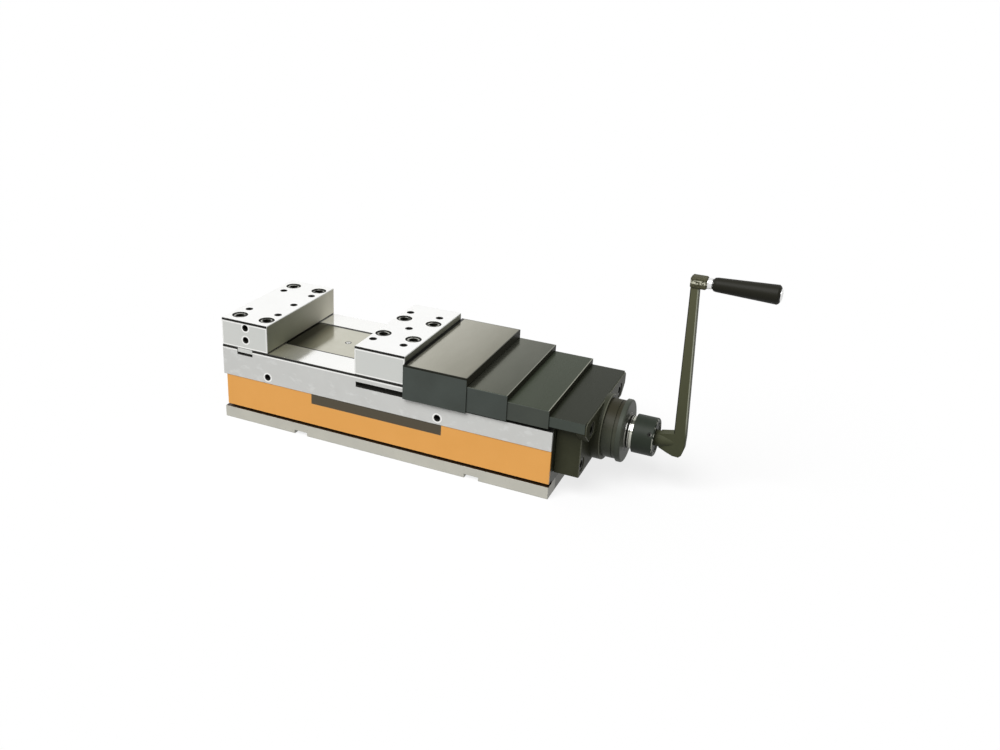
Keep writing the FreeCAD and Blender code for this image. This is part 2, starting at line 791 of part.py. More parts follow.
fixed_block = jaw("fixed_jaw_block", "bed_left", "fixed_jaw_length", "bed_height")
tongues = [
    box(f"tongue_{number}",
        ("bed_left + tongue_from_left", "bed_left + tongue_from_left + tongue_width"),
        sides, ("bed_height - tongue_depth", "bed_height + jaw_edge + 1"))
    for number, sides in enumerate((("-half_width", "-half_slot - 1"), ("half_slot + 1", "half_width")), 1)
]
fixed_tapped = corners_of("(bed_left + fixed_tapped_inset + fixed_tapped_spacing / 2)", "0",
                          "fixed_tapped_spacing", "fixed_tapped_spread")
fixed_tapped.append(("bed_left + fixed_screw_inset + fixed_screw_spacing", "0"))
stop_holes = [
    rod(f"stop_hole_{side}_{number}",
        ("bed_left + stop_hole_inset", start, f"bed_height + stop_hole_height + {up}"),
        "tapped_radius", "tapped_depth + 1", "y")
    for side, start in (("front", "-half_width - 1"), ("rear", "half_width - tapped_depth"))
    for number, up in enumerate(("0", "stop_hole_spacing"), 1)
]
keep("fixed_jaw", cut("fixed_jaw_finished", joined("fixed_jaw_blank", [fixed_block] + tongues),
                      tapped("fixed_tapped", fixed_tapped, "jaw_top") + stop_holes
                      + counterbores("fixed_jaw_screw_hole", fixed_screw_tops, "m12")))
keep("fixed_jaw_screws", cap_screws("fixed_jaw_screw_set", fixed_screw_tops, "m12"))

# Slide: neck between the rails, keepers under them, a nose that carries the channel plate

slide_body = doc.addObject("PartDesign::Body", "slide_body")
slide_side = [
    ("slide_body_width / 2", "slide_body_bottom"),
    ("slide_body_width / 2", "keeper_bottom"),
    ("half_undercut - keeper_gap", "keeper_bottom"),
    ("half_undercut - keeper_gap", "keeper_top"),
    ("slide_half_width", "keeper_top"),
    ("slide_half_width", "jaw_sole"),
]
slide_section = outline(slide_body, "YZ_Plane", "slide_section", [mirrored(slide_side)])
pad(slide_body, "slide_pad", slide_section, "movable_jaw_length")
place(slide_body, "movable_face", "0", "0")
slide_nose = box("slide_nose", ("movable_face - nose_length", "movable_face + 1"),
                 ("-nose_width / 2", "nose_width / 2"), ("nose_bottom", "plate_bottom"))
plate_seat = box("plate_seat", ("movable_face - 1", "plate_right"),
                 ("-half_width", "half_width"), ("plate_bottom", "bed_height + 1"))
nut_bore = rod("nut_bore", ("movable_face - 1", "0", "axis_height"), "nut_radius",
               "movable_jaw_length + 2")
nut_screw_tops = [
    ("jaw_back + nut_flange_length + m6_head_height",
     f"{side}nut_screw_circle * 0.7071", f"axis_height {end} nut_screw_circle * 0.7071")
    for side in ("-", "") for end in "-+"
]
slide_tapped = [
    rod(f"nut_screw_hole_{number}",
        moved(top, "x", "-m6_head_height - m6_length"), "m6_radius", "m6_length + 1")
    for number, top in enumerate(nut_screw_tops, 1)
]
plate_screw_top = ("plate_screw_place", "0", "plate_top")
plate_screw_way = rod("plate_screw_way", moved(plate_screw_top, "z", "-m5_length"),
                      "m5_radius", "m5_length + 1", "z")
keep("slide", cut("slide_finished", joined("slide_blank", [slide_body, slide_nose]),
                  [plate_seat, nut_bore, plate_screw_way] + slide_tapped
                  + counterbores("slide_screw_hole", movable_screw_tops, "m12")))

nut_blank = turned("nut_body", [
    ("movable_face + 2", "thread_radius + running_gap"),
    ("jaw_back + nut_flange_length", "thread_radius + running_gap"),
    ("jaw_back + nut_flange_length", "nut_flange_radius"),
    ("jaw_back", "nut_flange_radius"),
    ("jaw_back", "nut_radius"),
    ("movable_face + 2", "nut_radius"),
])
nut_ways = [
    rod(f"nut_way_{number}", moved(top, "x", "-m6_head_height - m6_length"), "m6_radius",
        "m6_length + m6_head_height")
    for number, top in enumerate(nut_screw_tops, 1)
]
keep("spindle_nut", cut("nut_finished", nut_blank, nut_ways))
keep("nut_screws", cap_screws("nut_screw_set", nut_screw_tops, "m6", "x"))

plate_blank = box("plate_blank", ("plate_left", "plate_right"),
                  ("-half_slot + plate_side_gap", "half_slot - plate_side_gap"),
                  ("plate_bottom", "plate_top"))
keep("channel_plate", cut("plate_finished", plate_blank, [
    rod("plate_hole", moved(plate_screw_top, "z", "-m5_length"), "m5_radius", "m5_length + 1", "z")]))
plate_screw_blank = rod("plate_screw_blank", moved(plate_screw_top, "z", "-m5_length"),
                        "m5_radius", "m5_length", "z")
keep("plate_screw", cut("plate_screw_finished", plate_screw_blank, [
    hexagon("plate_screw_socket", moved(plate_screw_top, "z", "-2"), "m5_radius * socket_share", "3", "z")]))

# Movable jaw, bolted down onto the slide

movable_block = jaw("movable_jaw_block", "movable_face", "movable_jaw_length", "jaw_sole")
movable_tapped_middle = "(movable_face + movable_tapped_inset + movable_tapped_spacing / 2)"
movable_tapped = corners_of(movable_tapped_middle, "0", "movable_tapped_spacing", "movable_tapped_spread")
movable_tapped.append((f"{movable_tapped_middle} + 2.4", "0"))
cover_screw_tops = [
    ("jaw_back + sheet", f"{side}{spread} / 2", "cover_1_height - cover_screw_drop")
    for spread in ("cover_screw_spread", "cover_screw_inner_spread") for side in ("-", "")
]
cover_screws, cover_seats = flush_screws("cover_screw_set", cover_screw_tops, "x")
keep("movable_jaw", cut("movable_jaw_finished", movable_block,
                        tapped("movable_tapped", movable_tapped, "jaw_top") + cover_seats
                        + counterbores("movable_jaw_screw_hole", movable_screw_tops, "m12")))
keep("movable_jaw_screws", cap_screws("movable_jaw_screw_set", movable_screw_tops, "m12"))


# Covers: three folded steel sheets that slide over each other and hook into the bed's grooves

def cover(name, left, length, half, top, bottom, below, above=None, flange=False):
    """A folded cover, open below, with an end lip down to the next cover.

    Its skirts end in hooks. Its left end has a lip up to the cover above it,
    or a full flange where it is screwed to the jaw.
    """
    body = doc.addObject("PartDesign::Body", name)
    skirt = [
        (half, bottom), (half, top), (f"-({half})", top), (f"-({half})", bottom),
        ("-hook_inner", bottom), ("-hook_inner", f"{bottom} + sheet"),
        (f"-({half}) + sheet", f"{bottom} + sheet"), (f"-({half}) + sheet", f"{top} - sheet"),
        (f"{half} - sheet", f"{top} - sheet"), (f"{half} - sheet", f"{bottom} + sheet"),
        ("hook_inner", f"{bottom} + sheet"), ("hook_inner", bottom),
    ]
    fold = pad(body, name + "_fold", outline(body, "YZ_Plane", name + "_section", [skirt]), length)
    eased(body, "Fillet", fold, upper_corners(fold), "bend_radius")

    def end_sheet(tag, low, high, offset):
        """A strip of the same sheet across the cover's inside."""
        inside = f"{half} - sheet / 2"
        strip = [(f"-({inside})", low), (inside, low), (inside, high), (f"-({inside})", high)]
        shape = outline(body, "YZ_Plane", name + tag, [strip], offset=offset)
        pad(body, name + tag + "_pad", shape, "sheet")

    end_sheet("_wiper", f"{below} + nest_gap", f"{top} - sheet / 2", f"{length} - sheet")
    if flange:
        end_sheet("_flange", "jaw_sole + 1", f"{top} - sheet / 2", "0")
    if above:
        end_sheet("_catch", f"{top} - sheet / 2", f"{above} - sheet - nest_gap", "0")
    return place(body, left, "0", "0")


cover_1_blank = cover("cover_1_body", "jaw_back", "cover_1_length", "cover_1_half_width",
                      "cover_1_height", "cover_1_bottom", "cover_2_height", flange=True)
cover_1_seats = flush_screws("cover_1_hole_set", cover_screw_tops, "x")[1]
hook_gaps = [
    box(f"hook_gap_{number}", ("jaw_back - 1", "cover_1_right - front_hook_length"), sides,
        ("cover_1_bottom - 1", "cover_1_bottom + sheet"))
    for number, sides in enumerate((("-cover_1_half_width + sheet", "-hook_inner + 1"),
                                    ("hook_inner - 1", "cover_1_half_width - sheet")), 1)
]
keep("cover_1", cut("cover_1_finished", cover_1_blank, cover_1_seats + hook_gaps))
keep("cover_screws", cover_screws)
keep("cover_2", cover("cover_2_body", "cover_2_right - cover_length", "cover_length",
                      "cover_2_half_width", "cover_2_height", "cover_2_bottom", "cover_3_height",
                      above="cover_1_height"))
keep("cover_3", cover("cover_3_body", "cover_3_right - cover_length", "cover_length",
                      "cover_3_half_width", "cover_3_height", "cover_3_bottom", "end_cover_top",
                      above="cover_2_height"))

end_cover_parts = [
    box("end_cover_plate", ("cover_4_left", "cover_4_right"), ("-half_width", "half_width"),
        ("bed_height", "end_cover_top")),
    box("end_cover_catch", ("cover_4_left", "cover_4_left + sheet"), ("-half_width", "half_width"),
        ("end_cover_top - 1", "cover_3_height - sheet - nest_gap")),
]
for side, (low, high) in (("front", ("-half_width", "-half_width + sheet")),
                          ("rear", ("half_width - sheet", "half_width"))):
    end_cover_parts.append(box(f"end_cover_lip_{side}", ("lip_left", "cover_4_right"), (low, high),
                               ("lip_bottom", "end_cover_top - 1")))
end_cover_holes = flush_screws("end_cover_hole_set", end_cover_screw_tops)[1]
keep("end_cover", cut("end_cover_finished", joined("end_cover_blank", end_cover_parts), end_cover_holes))
keep("end_cover_screws", end_cover_screws)

# Bracket bolted to the bed's end, with a round boss and an upper flange that closes the covers

bracket_block = block("bracket_block", "bracket_length", "bracket_width",
                      "bed_height - bracket_bottom", "bracket_edge")
place(bracket_block, "bed_right", "-bracket_width / 2", "bracket_bottom")


def bracket_plate(name, left, length, half, top):
    """A plate across the bracket's upper part, slanted in below its ears."""
    body = doc.addObject("PartDesign::Body", name)
    face = [("bracket_width / 2", "bracket_shoulder_height"), (half, "bracket_ear_height"), (half, top)]
    solid = pad(body, name + "_pad", outline(body, "YZ_Plane", name + "_face", [mirrored(face)]), length)
    return place(body, left, "0", "0"), solid


bracket_ears = bracket_plate("bracket_ears", "flange_left", "bracket_flange_length - bracket_rim_length / 2",
                             "ear_half_width", "bed_height")[0]
bracket_rim, rim_pad = bracket_plate("bracket_rim", "flange_right - bracket_rim_length",
                                     "bracket_rim_length", "half_width", "end_cover_top")
rim_rounded = eased(bracket_rim, "Fillet", rim_pad, upper_corners(rim_pad), "bracket_rim_radius")
eased(bracket_rim, "Chamfer", rim_rounded, end_edges(rim_rounded), "bracket_rim_edge")
bracket_boss = turned("bracket_boss", [
    ("bracket_right - 2", "0"), ("bracket_right - 2", "boss_radius"),
    ("boss_right - bracket_edge", "boss_radius"), ("boss_right", "boss_radius - bracket_edge"),
    ("boss_right", "0"),
])
bracket_tools = [
    rod("cylinder_way", ("bed_right - 1", "0", "axis_height"), "cylinder_radius + cylinder_pass_gap",
        "bracket_length + boss_length + 2"),
    rod("housing_seat_bore", ("housing_left", "0", "axis_height"), "housing_radius",
        "bracket_length + boss_length"),
    box("boss_flat", ("bed_right", "cover_4_right + nest_gap"), ("-boss_radius", "boss_radius"),
        ("bed_height", "bed_height + boss_radius")),
]
bracket_blank = joined("bracket_blank", [bracket_block, bracket_ears, bracket_rim, bracket_boss])
keep("end_bracket", cut("bracket_finished", bracket_blank,
                        bracket_tools + counterbores("bracket_screw_hole", bracket_screw_tops, "m10", "x")))
keep("bracket_screws", cap_screws("bracket_screw_set", bracket_screw_tops, "m10", "x"))

# Hub: housing, plain bush, thrust bearing and threaded end cap

keep("hub_housing", turned("housing_body", [
    ("housing_left", "cylinder_radius + cylinder_pass_gap"),
    ("housing_left + hub_bush_inset", "cylinder_radius + cylinder_pass_gap"),
    ("housing_left + hub_bush_inset", "housing_bore_radius"),
    ("housing_right", "housing_bore_radius"),
    ("housing_right", "housing_radius"),
    ("housing_right - housing_groove_inset + housing_groove_width", "housing_radius"),
    ("housing_right - housing_groove_inset + housing_groove_width", "housing_radius - 1"),
    ("housing_right - housing_groove_inset", "housing_radius - 1"),
    ("housing_right - housing_groove_inset", "housing_radius"),
    ("housing_left", "housing_radius"),
]))
keep("hub_bush", turned("hub_bush_body", tube(
    "housing_left + hub_bush_inset", "housing_left + hub_bush_inset + hub_bush_length",
    "cylinder_radius + running_gap", "housing_bore_radius")))
cap_bore = "sleeve_radius + sleeve_play"
seal_middle = "housing_right + end_cap_thickness / 2"
end_cap = turned("end_cap_body", [
    ("housing_right", cap_bore),
    (f"{seal_middle} - seal_section", cap_bore),
    (f"{seal_middle} - seal_section", f"{cap_bore} + 2 * seal_section"),
    (f"{seal_middle} + seal_section", f"{cap_bore} + 2 * seal_section"),
    (f"{seal_middle} + seal_section", cap_bore),
    ("cap_face", cap_bore),
    ("cap_face", "end_cap_radius"),
    ("housing_right", "end_cap_radius"),
    ("housing_right", "housing_bore_radius"),
    ("housing_right - end_cap_spigot", "housing_bore_radius"),
    ("housing_right - end_cap_spigot", "cylinder_radius + cylinder_pass_gap"),
    ("housing_right", "cylinder_radius + cylinder_pass_gap"),
])
cap_turning = end_cap.Tip
eased(end_cap, "Fillet", cap_turning, end_edges(cap_turning, outermost=True), "end_cap_edge")
keep("end_cap", end_cap)
keep("end_cap_seal", turned("end_cap_seal_body", circles=[
    (seal_middle, "sleeve_radius + seal_play + seal_section", "seal_section - 0.01")]))
keep("fixed_race", turned("fixed_race_body", tube(
    "housing_right - race_thickness", "housing_right", "race_inner_radius", "cylinder_radius")))
keep("turning_race", turned("turning_race_body", tube(
    "cylinder_right", "cylinder_right + race_thickness", "race_inner_radius", "cylinder_radius")))


def thrust_balls():
    """A ring of balls between the races."""
    balls = []
    for number in range(int(SIZES["ball_count"])):
        ball = bind(doc.addObject("Part::Sphere", f"ball_{number + 1}"), Radius="ball_radius")
        turn = f"360 / ball_count * {number}"
        place(ball, "cylinder_right + bearing_length / 2",
              f"ball_circle * cos({turn})", f"axis_height + ball_circle * sin({turn})")
        balls.append(ball)
    return balls


keep("thrust_balls", group("thrust_ball_set", thrust_balls()))
cage_ring = turned("cage_ring", tube(
    "cylinder_right + (bearing_length - cage_thickness) / 2",
    "cylinder_right + (bearing_length + cage_thickness) / 2",
    "ball_circle - cage_half_width", "ball_circle + cage_half_width"))
cage_holes = []
for number in range(int(SIZES["ball_count"])):
    turn = f"360 / ball_count * {number}"
    at = ("cylinder_right + (bearing_length - cage_thickness) / 2 - 1", f"ball_circle * cos({turn})",
          f"axis_height + ball_circle * sin({turn})")
    cage_holes.append(rod(f"cage_hole_{number + 1}", at, "ball_radius + ball_play", "cage_thickness + 2"))
cage_gaps = cut("cage_finished", cage_ring, cage_holes)

# Booster: a turning cylinder with a piston on the spindle's end, sealed and sprung back

keyway_tool = box("cylinder_keyway", ("cylinder_left - 1", "cylinder_floor + 1"),
                  ("-key_size / 2 - key_play", "key_size / 2 + key_play"),
                  ("axis_height", "axis_height + rod_radius + key_size / 2 + key_play"))
cylinder_blank = turned("cylinder_body", [
    ("cylinder_left", "rod_radius + running_gap"),
    ("cylinder_floor", "rod_radius + running_gap"),
    ("cylinder_floor", "cylinder_bore_radius"),
    ("head_right", "cylinder_bore_radius"),
    ("head_right", "cylinder_bore_radius + snap_ring_depth"),
    ("snap_ring_right", "cylinder_bore_radius + snap_ring_depth"),
    ("snap_ring_right", "cylinder_bore_radius"),
    ("cylinder_right", "cylinder_bore_radius"),
    ("cylinder_right", "cylinder_radius"),
    ("cylinder_left", "cylinder_radius"),
])
keep("booster_cylinder", cut("cylinder_finished", cylinder_blank, [keyway_tool]))
head_seal_middle = "(head_left + head_thickness / 2)"
keep("cylinder_head", turned("head_body", [
    ("head_left", "plunger_radius + running_gap"),
    (f"{head_seal_middle} - seal_section", "plunger_radius + running_gap"),
    (f"{head_seal_middle} - seal_section", "plunger_radius + seal_play + 2 * seal_section"),
    (f"{head_seal_middle} + seal_section", "plunger_radius + seal_play + 2 * seal_section"),
    (f"{head_seal_middle} + seal_section", "plunger_radius + running_gap"),
    ("nose_right", "plunger_radius + running_gap"),
    ("nose_right", "nose_radius"),
    ("head_right", "nose_radius"),
    ("head_right", "cylinder_bore_radius"),
    (f"{head_seal_middle} + seal_section", "cylinder_bore_radius"),
    (f"{head_seal_middle} + seal_section", "cylinder_bore_radius - 2 * seal_section"),
    (f"{head_seal_middle} - seal_section", "cylinder_bore_radius - 2 * seal_section"),
    (f"{head_seal_middle} - seal_section", "cylinder_bore_radius"),
    ("head_left", "cylinder_bore_radius"),
]))
keep("head_seal", turned("head_seal_body", circles=[
    (head_seal_middle, "cylinder_bore_radius - seal_section", "seal_section - 0.01")]))
keep("plunger_seal", turned("plunger_seal_body", circles=[
    (head_seal_middle, "plunger_radius + seal_play + seal_section", "seal_section - 0.01")]))
keep("snap_ring", turned("snap_ring_body", tube(
    "head_right", "snap_ring_right", "cylinder_bore_radius + snap_ring_depth - snap_ring_width",
    "cylinder_bore_radius + snap_ring_depth")))
keep("ball_cage", cage_gaps)


def disc_spring(number):
    """One coned spring washer, each the other way round from the one before."""
    left = f"cylinder_floor + {number} * disc_spring_thickness"
    cone_rise = "disc_spring_thickness * 0.35"
    first, second = ("0", cone_rise) if number % 2 == 0 else (cone_rise, "0")
    inner, outer = "disc_spring_inner_radius", "cylinder_bore_radius - disc_spring_rim_gap"
    return turned(f"disc_spring_{number + 1}", [
        (f"{left} + {first}", inner),
        (f"{left} + {first} + disc_spring_thickness - {cone_rise}", inner),
        (f"{left} + {second} + disc_spring_thickness - {cone_rise}", outer),
        (f"{left} + {second}", outer),
    ])


keep("disc_springs", group("disc_spring_set", [
    disc_spring(number) for number in range(int(SIZES["disc_spring_count"]))]))

# Spindle with its piston, piston ring seal, nut and feather key

spindle_blank = turned("spindle_body", [
    ("spindle_left", "0"),
    ("spindle_left", "journal_radius - 1"),
    ("spindle_left + 1", "journal_radius"),
    ("journal_right", "journal_radius"),
    ("journal_right", "thread_radius - 1.5"),
    ("journal_right + 1.5", "thread_radius"),
    ("thread_right - 1", "thread_radius"),
    ("thread_right", "rod_radius"),
    ("piston_left", "rod_radius"),
    ("piston_left", "stub_radius"),
    ("spindle_right", "stub_radius"),
    ("spindle_right", "plunger_bore_radius"),
    ("spindle_right - plunger_bore_depth", "plunger_bore_radius"),
    ("spindle_right - plunger_bore_depth", "0"),
])
key_place = (("cylinder_left + 1", "cylinder_floor - 1"), ("-key_size / 2", "key_size / 2"),
             ("axis_height + rod_radius - key_size / 2", "axis_height + rod_radius + key_size / 2 - 0.1"))
keep("spindle", cut("spindle_finished", spindle_blank, [box("key_seat", *key_place)]))
keep("spindle_key", box("key_body", *key_place))
piston_middle = "(piston_left + piston_length / 2)"
keep("booster_piston", turned("piston_body", [
    ("piston_left", "stub_radius"),
    ("piston_right", "stub_radius"),
    ("piston_right", "piston_radius"),
    (f"{piston_middle} + seal_section", "piston_radius"),
    (f"{piston_middle} + seal_section", "piston_radius - 2 * seal_section"),
    (f"{piston_middle} - seal_section", "piston_radius - 2 * seal_section"),
    (f"{piston_middle} - seal_section", "piston_radius"),
    ("piston_left", "piston_radius"),
]))
keep("piston_seal", turned("piston_seal_body", circles=[
    (piston_middle, "piston_radius - seal_section", "seal_section - 0.01")]))
piston_nut_blank = hexagon("piston_nut_blank", ("piston_right", "0", "axis_height"),
                           "piston_nut_radius", "piston_nut_length")
keep("piston_nut", cut("piston_nut_finished", piston_nut_blank, [
    rod("piston_nut_bore", ("piston_right - 1", "0", "axis_height"), "stub_radius",
        "piston_nut_length + 2")]))

# Drive: pressure rod, ring sleeve that shows the force, friction ring and coupling

keep("plunger", turned("plunger_body", [
    ("plunger_left", "0"), ("plunger_left", "plunger_radius - 1"),
    ("plunger_left + 1", "plunger_radius"), ("socket_bottom", "plunger_radius"),
    ("socket_bottom", "0"),
]))


def sleeve_profile():
    """The ring sleeve's section, with one groove for each force mark."""
    corners = [
        ("coupling_left", "sleeve_bore_radius"),
        ("friction_right", "sleeve_bore_radius"),
        ("friction_right", "sleeve_bore_radius + friction_ring_wall"),
        ("friction_left", "sleeve_bore_radius + friction_ring_wall"),
        ("friction_left", "sleeve_bore_radius"),
        ("sleeve_left", "sleeve_bore_radius"),
        ("sleeve_left", "sleeve_radius"),
    ]
    for number in range(int(SIZES["ring_count"])):
        start = f"cap_face + 0.9 + {number} * ring_spacing"
        corners += [
            (start, "sleeve_radius"), (start, "sleeve_radius - ring_groove_depth"),
            (f"{start} + ring_groove_width", "sleeve_radius - ring_groove_depth"),
            (f"{start} + ring_groove_width", "sleeve_radius"),
        ]
    return corners + [("coupling_left", "sleeve_radius")]


keep("ring_sleeve", turned("ring_sleeve_body", sleeve_profile()))
keep("friction_ring", turned("friction_ring_body", tube(
    "friction_left", "friction_right", "sleeve_bore_radius",
    "sleeve_bore_radius + friction_ring_wall")))
coupling_blank = turned("coupling_body", [
    ("coupling_left", "sleeve_bore_radius + sleeve_play"),
    ("coupling_web", "sleeve_bore_radius + sleeve_play"),
    ("coupling_web", "plunger_radius"),
    ("socket_bottom", "plunger_radius"),
    ("socket_bottom", "neck_radius"),
    ("coupling_right - coupling_recess_depth", "neck_radius"),
    ("coupling_right - coupling_recess_depth", "coupling_recess_radius"),
    ("coupling_right", "coupling_recess_radius + coupling_recess_depth"),
    ("coupling_right", "coupling_radius - coupling_edge"),
    ("coupling_right - coupling_edge", "coupling_radius"),
    ("coupling_left", "coupling_radius"),
])
crank_screw_place = "coupling_right - crank_screw_inset"
crank_screw_top = "(coupling_radius - crank_screw_sink)"


def crank_screw_tool(name, shape, inner, radius, length):
    """A bar or a six-sided bar on the crank screw's own line."""
    return outwards(shape(name, ("0", "0", "0"), radius, length), crank_screw_place, inner,
                    "crank_screw_angle")


keep("coupling", cut("coupling_finished", coupling_blank, [
    crank_screw_tool("crank_screw_way", rod, "neck_radius", "m5_radius", "coupling_radius")]))
crank_screw_blank = crank_screw_tool("crank_screw_blank", rod, "neck_radius", "m5_radius",
                                     f"{crank_screw_top} - neck_radius")
keep("crank_screw", cut("crank_screw_finished", crank_screw_blank, [
    crank_screw_tool("crank_screw_socket", hexagon, f"{crank_screw_top} - 3",
                     "m5_radius * socket_share", "4")]))

# Crank: one forging with a round neck, a flat tapered arm and an eye for the grip

arm_body = doc.addObject("PartDesign::Body", "arm_body")
arm_face = [
    ("neck_right", "neck_radius - 0.6"),
    ("arm_left", "neck_radius + 2.6"),
    ("arm_tip_left", "crank_radius - eye_half_height"),
    ("arm_tip_left", "crank_radius - 2"),
    ("arm_tip_right", "crank_radius - 2"),
    ("arm_tip_right", "crank_radius - eye_half_height"),
    ("arm_right", "neck_radius"),
    ("arm_right - 0.3", "-neck_radius + 4"),
    ("arm_right - 2.5", "-heel_drop + 3"),
    ("arm_right - 5.5", "-heel_drop"),
    ("arm_left + 1", "-heel_drop + 0.5"),
    ("arm_left - 6", "-heel_drop + 3.2"),
    ("neck_right", "-neck_radius + 0.6"),
]
arm_pad = pad(arm_body, "arm_pad", outline(arm_body, "XZ_Plane", "arm_face", [arm_face]),
              "arm_thickness", backwards=True)


def arm_long_edge(edge):
    """The arm's long edges, on both faces."""
    return edge.Length > SIZES["crank_radius"] / 2


eased(arm_body, "Fillet", arm_pad, arm_long_edge, "arm_edge")
place(arm_body, "0", "-arm_thickness / 2", "axis_height")
neck_start = ("socket_bottom", "0", "axis_height")
crank_neck = rod("crank_neck", neck_start, "neck_radius", "crank_socket_depth + neck_length")
crank_taper = cone("crank_taper", ("neck_right", "0", "axis_height"), "neck_radius",
                   "arm_thickness / 2", "arm_left - neck_right + 2")
crank_eye = block("crank_eye", "eye_length", "eye_width", "2 * eye_half_height", "arm_edge")
place(crank_eye, "eye_left", "-eye_width / 2", "grip_height - eye_half_height")
crank_blank = joined("crank_blank", [arm_body, crank_neck, crank_taper, crank_eye])
keep("crank", cut("crank_finished", crank_blank, [
    rod("grip_bolt_way", ("eye_right - eye_length + 4", "0", "grip_height"), "grip_bolt_radius",
        "eye_length")]))

# Grip: a tapered handle that spins on a bolt, with a bright collar against the eye

keep("grip_collar", turned("grip_collar_body", [
    ("eye_right", "grip_bolt_radius"), ("collar_right", "grip_bolt_radius"),
    ("collar_right", "collar_radius - 0.6"), ("collar_right - 0.6", "collar_radius"),
    ("eye_right", "collar_radius"),
], height="grip_height"))
keep("grip_bolt", turned("grip_bolt_body", [
    ("eye_right - eye_length + 4", "0"), ("eye_right - eye_length + 4", "grip_bolt_radius"),
    ("bolt_seat + grip_gap", "grip_bolt_radius"), ("bolt_seat + grip_gap", "grip_bolt_head_radius"),
    ("bolt_end - grip_bolt_dome * 0.9", "grip_bolt_head_radius"),
    ("bolt_end - grip_bolt_dome * 0.5", "grip_bolt_head_radius * 0.88"),
    ("bolt_end - grip_bolt_dome * 0.15", "grip_bolt_head_radius * 0.6"),
    ("bolt_end", "grip_bolt_head_radius * 0.25"), ("bolt_end", "0"),
], height="grip_height"))
keep("grip", turned("grip_body", [
    ("grip_left", "grip_bore_radius"),
    ("bolt_seat", "grip_bore_radius"),
    ("bolt_seat", "grip_bolt_head_radius + sleeve_play"),
    ("grip_right - 0.4", "grip_bolt_head_radius + sleeve_play"),
    ("grip_right - 0.4", "grip_tail_radius - 0.9"),
    ("grip_right - grip_tail_length * 0.45", "grip_tail_radius + 0.6"),
    ("grip_right - grip_tail_length", "grip_large_radius"),
    ("grip_left + grip_nose_length", "grip_small_radius"),
    ("grip_left + grip_nose_length * 0.35", "grip_nose_radius + 0.7"),
    ("grip_left", "grip_nose_radius - 0.9"),
], height="grip_height"))

# Solve, test and write every piece

doc.recompute()
for item in doc.Objects:
    troubles = [state for state in item.State if state in ("Invalid", "Error")]
    if troubles:
        raise RuntimeError(f"{item.Label}: {troubles}")
for node, item in pieces.items():
    if item.Shape.isNull() or not item.Shape.isValid() or not item.Shape.Solids:
        raise RuntimeError(f"{node} is not a valid solid")

os.makedirs("parts", exist_ok=True)
for node, item in pieces.items():
    item.Shape.exportStep(os.path.join("parts", node + ".step"))
    print(f"{node}: {len(item.Shape.Solids)} solids, {item.Shape.Volume / 1000:.2f} cm3")
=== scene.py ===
"""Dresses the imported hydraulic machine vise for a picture.

Sections follow the vise as it is put together: bed, jaws, slide, covers, hub,
booster, drive and grip, and then the floor, the light and the camera.
"""
import math

import bmesh
import bpy
import numpy as np
from mathutils import Matrix, Vector


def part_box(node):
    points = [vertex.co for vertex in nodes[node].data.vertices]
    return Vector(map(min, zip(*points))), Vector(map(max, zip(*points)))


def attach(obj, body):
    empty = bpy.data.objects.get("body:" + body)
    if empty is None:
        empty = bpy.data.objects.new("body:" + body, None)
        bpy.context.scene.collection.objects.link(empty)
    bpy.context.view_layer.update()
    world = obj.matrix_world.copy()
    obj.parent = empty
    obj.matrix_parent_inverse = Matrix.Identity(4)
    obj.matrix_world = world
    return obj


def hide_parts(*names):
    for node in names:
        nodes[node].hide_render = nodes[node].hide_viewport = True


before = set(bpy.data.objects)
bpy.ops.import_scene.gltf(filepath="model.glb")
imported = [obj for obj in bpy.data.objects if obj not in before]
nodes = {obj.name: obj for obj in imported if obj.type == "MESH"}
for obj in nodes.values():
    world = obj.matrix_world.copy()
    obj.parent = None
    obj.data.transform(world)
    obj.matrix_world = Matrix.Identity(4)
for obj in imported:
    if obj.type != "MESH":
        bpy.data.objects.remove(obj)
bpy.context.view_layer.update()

# The bed: one iron casting. Its rails, sides and flange are ground bright, a shallow recess
# along each side is painted orange, and the channel between the rails is rough-milled.


class Wire:
    """A value in a recipe. Arithmetic on it adds the nodes that work it out."""

    def __init__(self, recipe, socket):
        self.recipe = recipe
        self.socket = socket

    def worked(self, operation, *values):
        """A Math node of that operation on this wire and the values."""
        return self.recipe.node("ShaderNodeMath", {"operation": operation}, [self, *values])[0]

    def __add__(self, other):
        return self.worked("ADD", other)

    def __sub__(self, other):
        return self.worked("SUBTRACT", other)

    def __rsub__(self, other):
        return self.recipe.node("ShaderNodeMath", {"operation": "SUBTRACT"}, [other, self])[0]

    def __mul__(self, other):
        return self.worked("MULTIPLY", other)

    def __abs__(self):
        return self.worked("ABSOLUTE")

    def __and__(self, other):
        return self * other

    def __or__(self, other):
        return self.worked("MAXIMUM", other)

    def __invert__(self):
        return 1 - self

    __radd__ = __add__
    __rmul__ = __mul__

    def above(self, edge, blur=0.0001):
        """1 where the wire is above the edge and 0 below it, over a short ramp."""
        ramp = {0: self, 1: edge - blur / 2, 2: edge + blur / 2}
        return self.recipe.node("ShaderNodeMapRange", {}, ramp)[0]

    def between(self, low, high, blur=0.0001):
        """1 inside a span and 0 outside it."""
        return self.above(low, blur) & ~self.above(high, blur)

    def apart(self, other):
        """How far a point at this and the other wire is from their zero."""
        return (self * self + other * other).worked("SQRT")


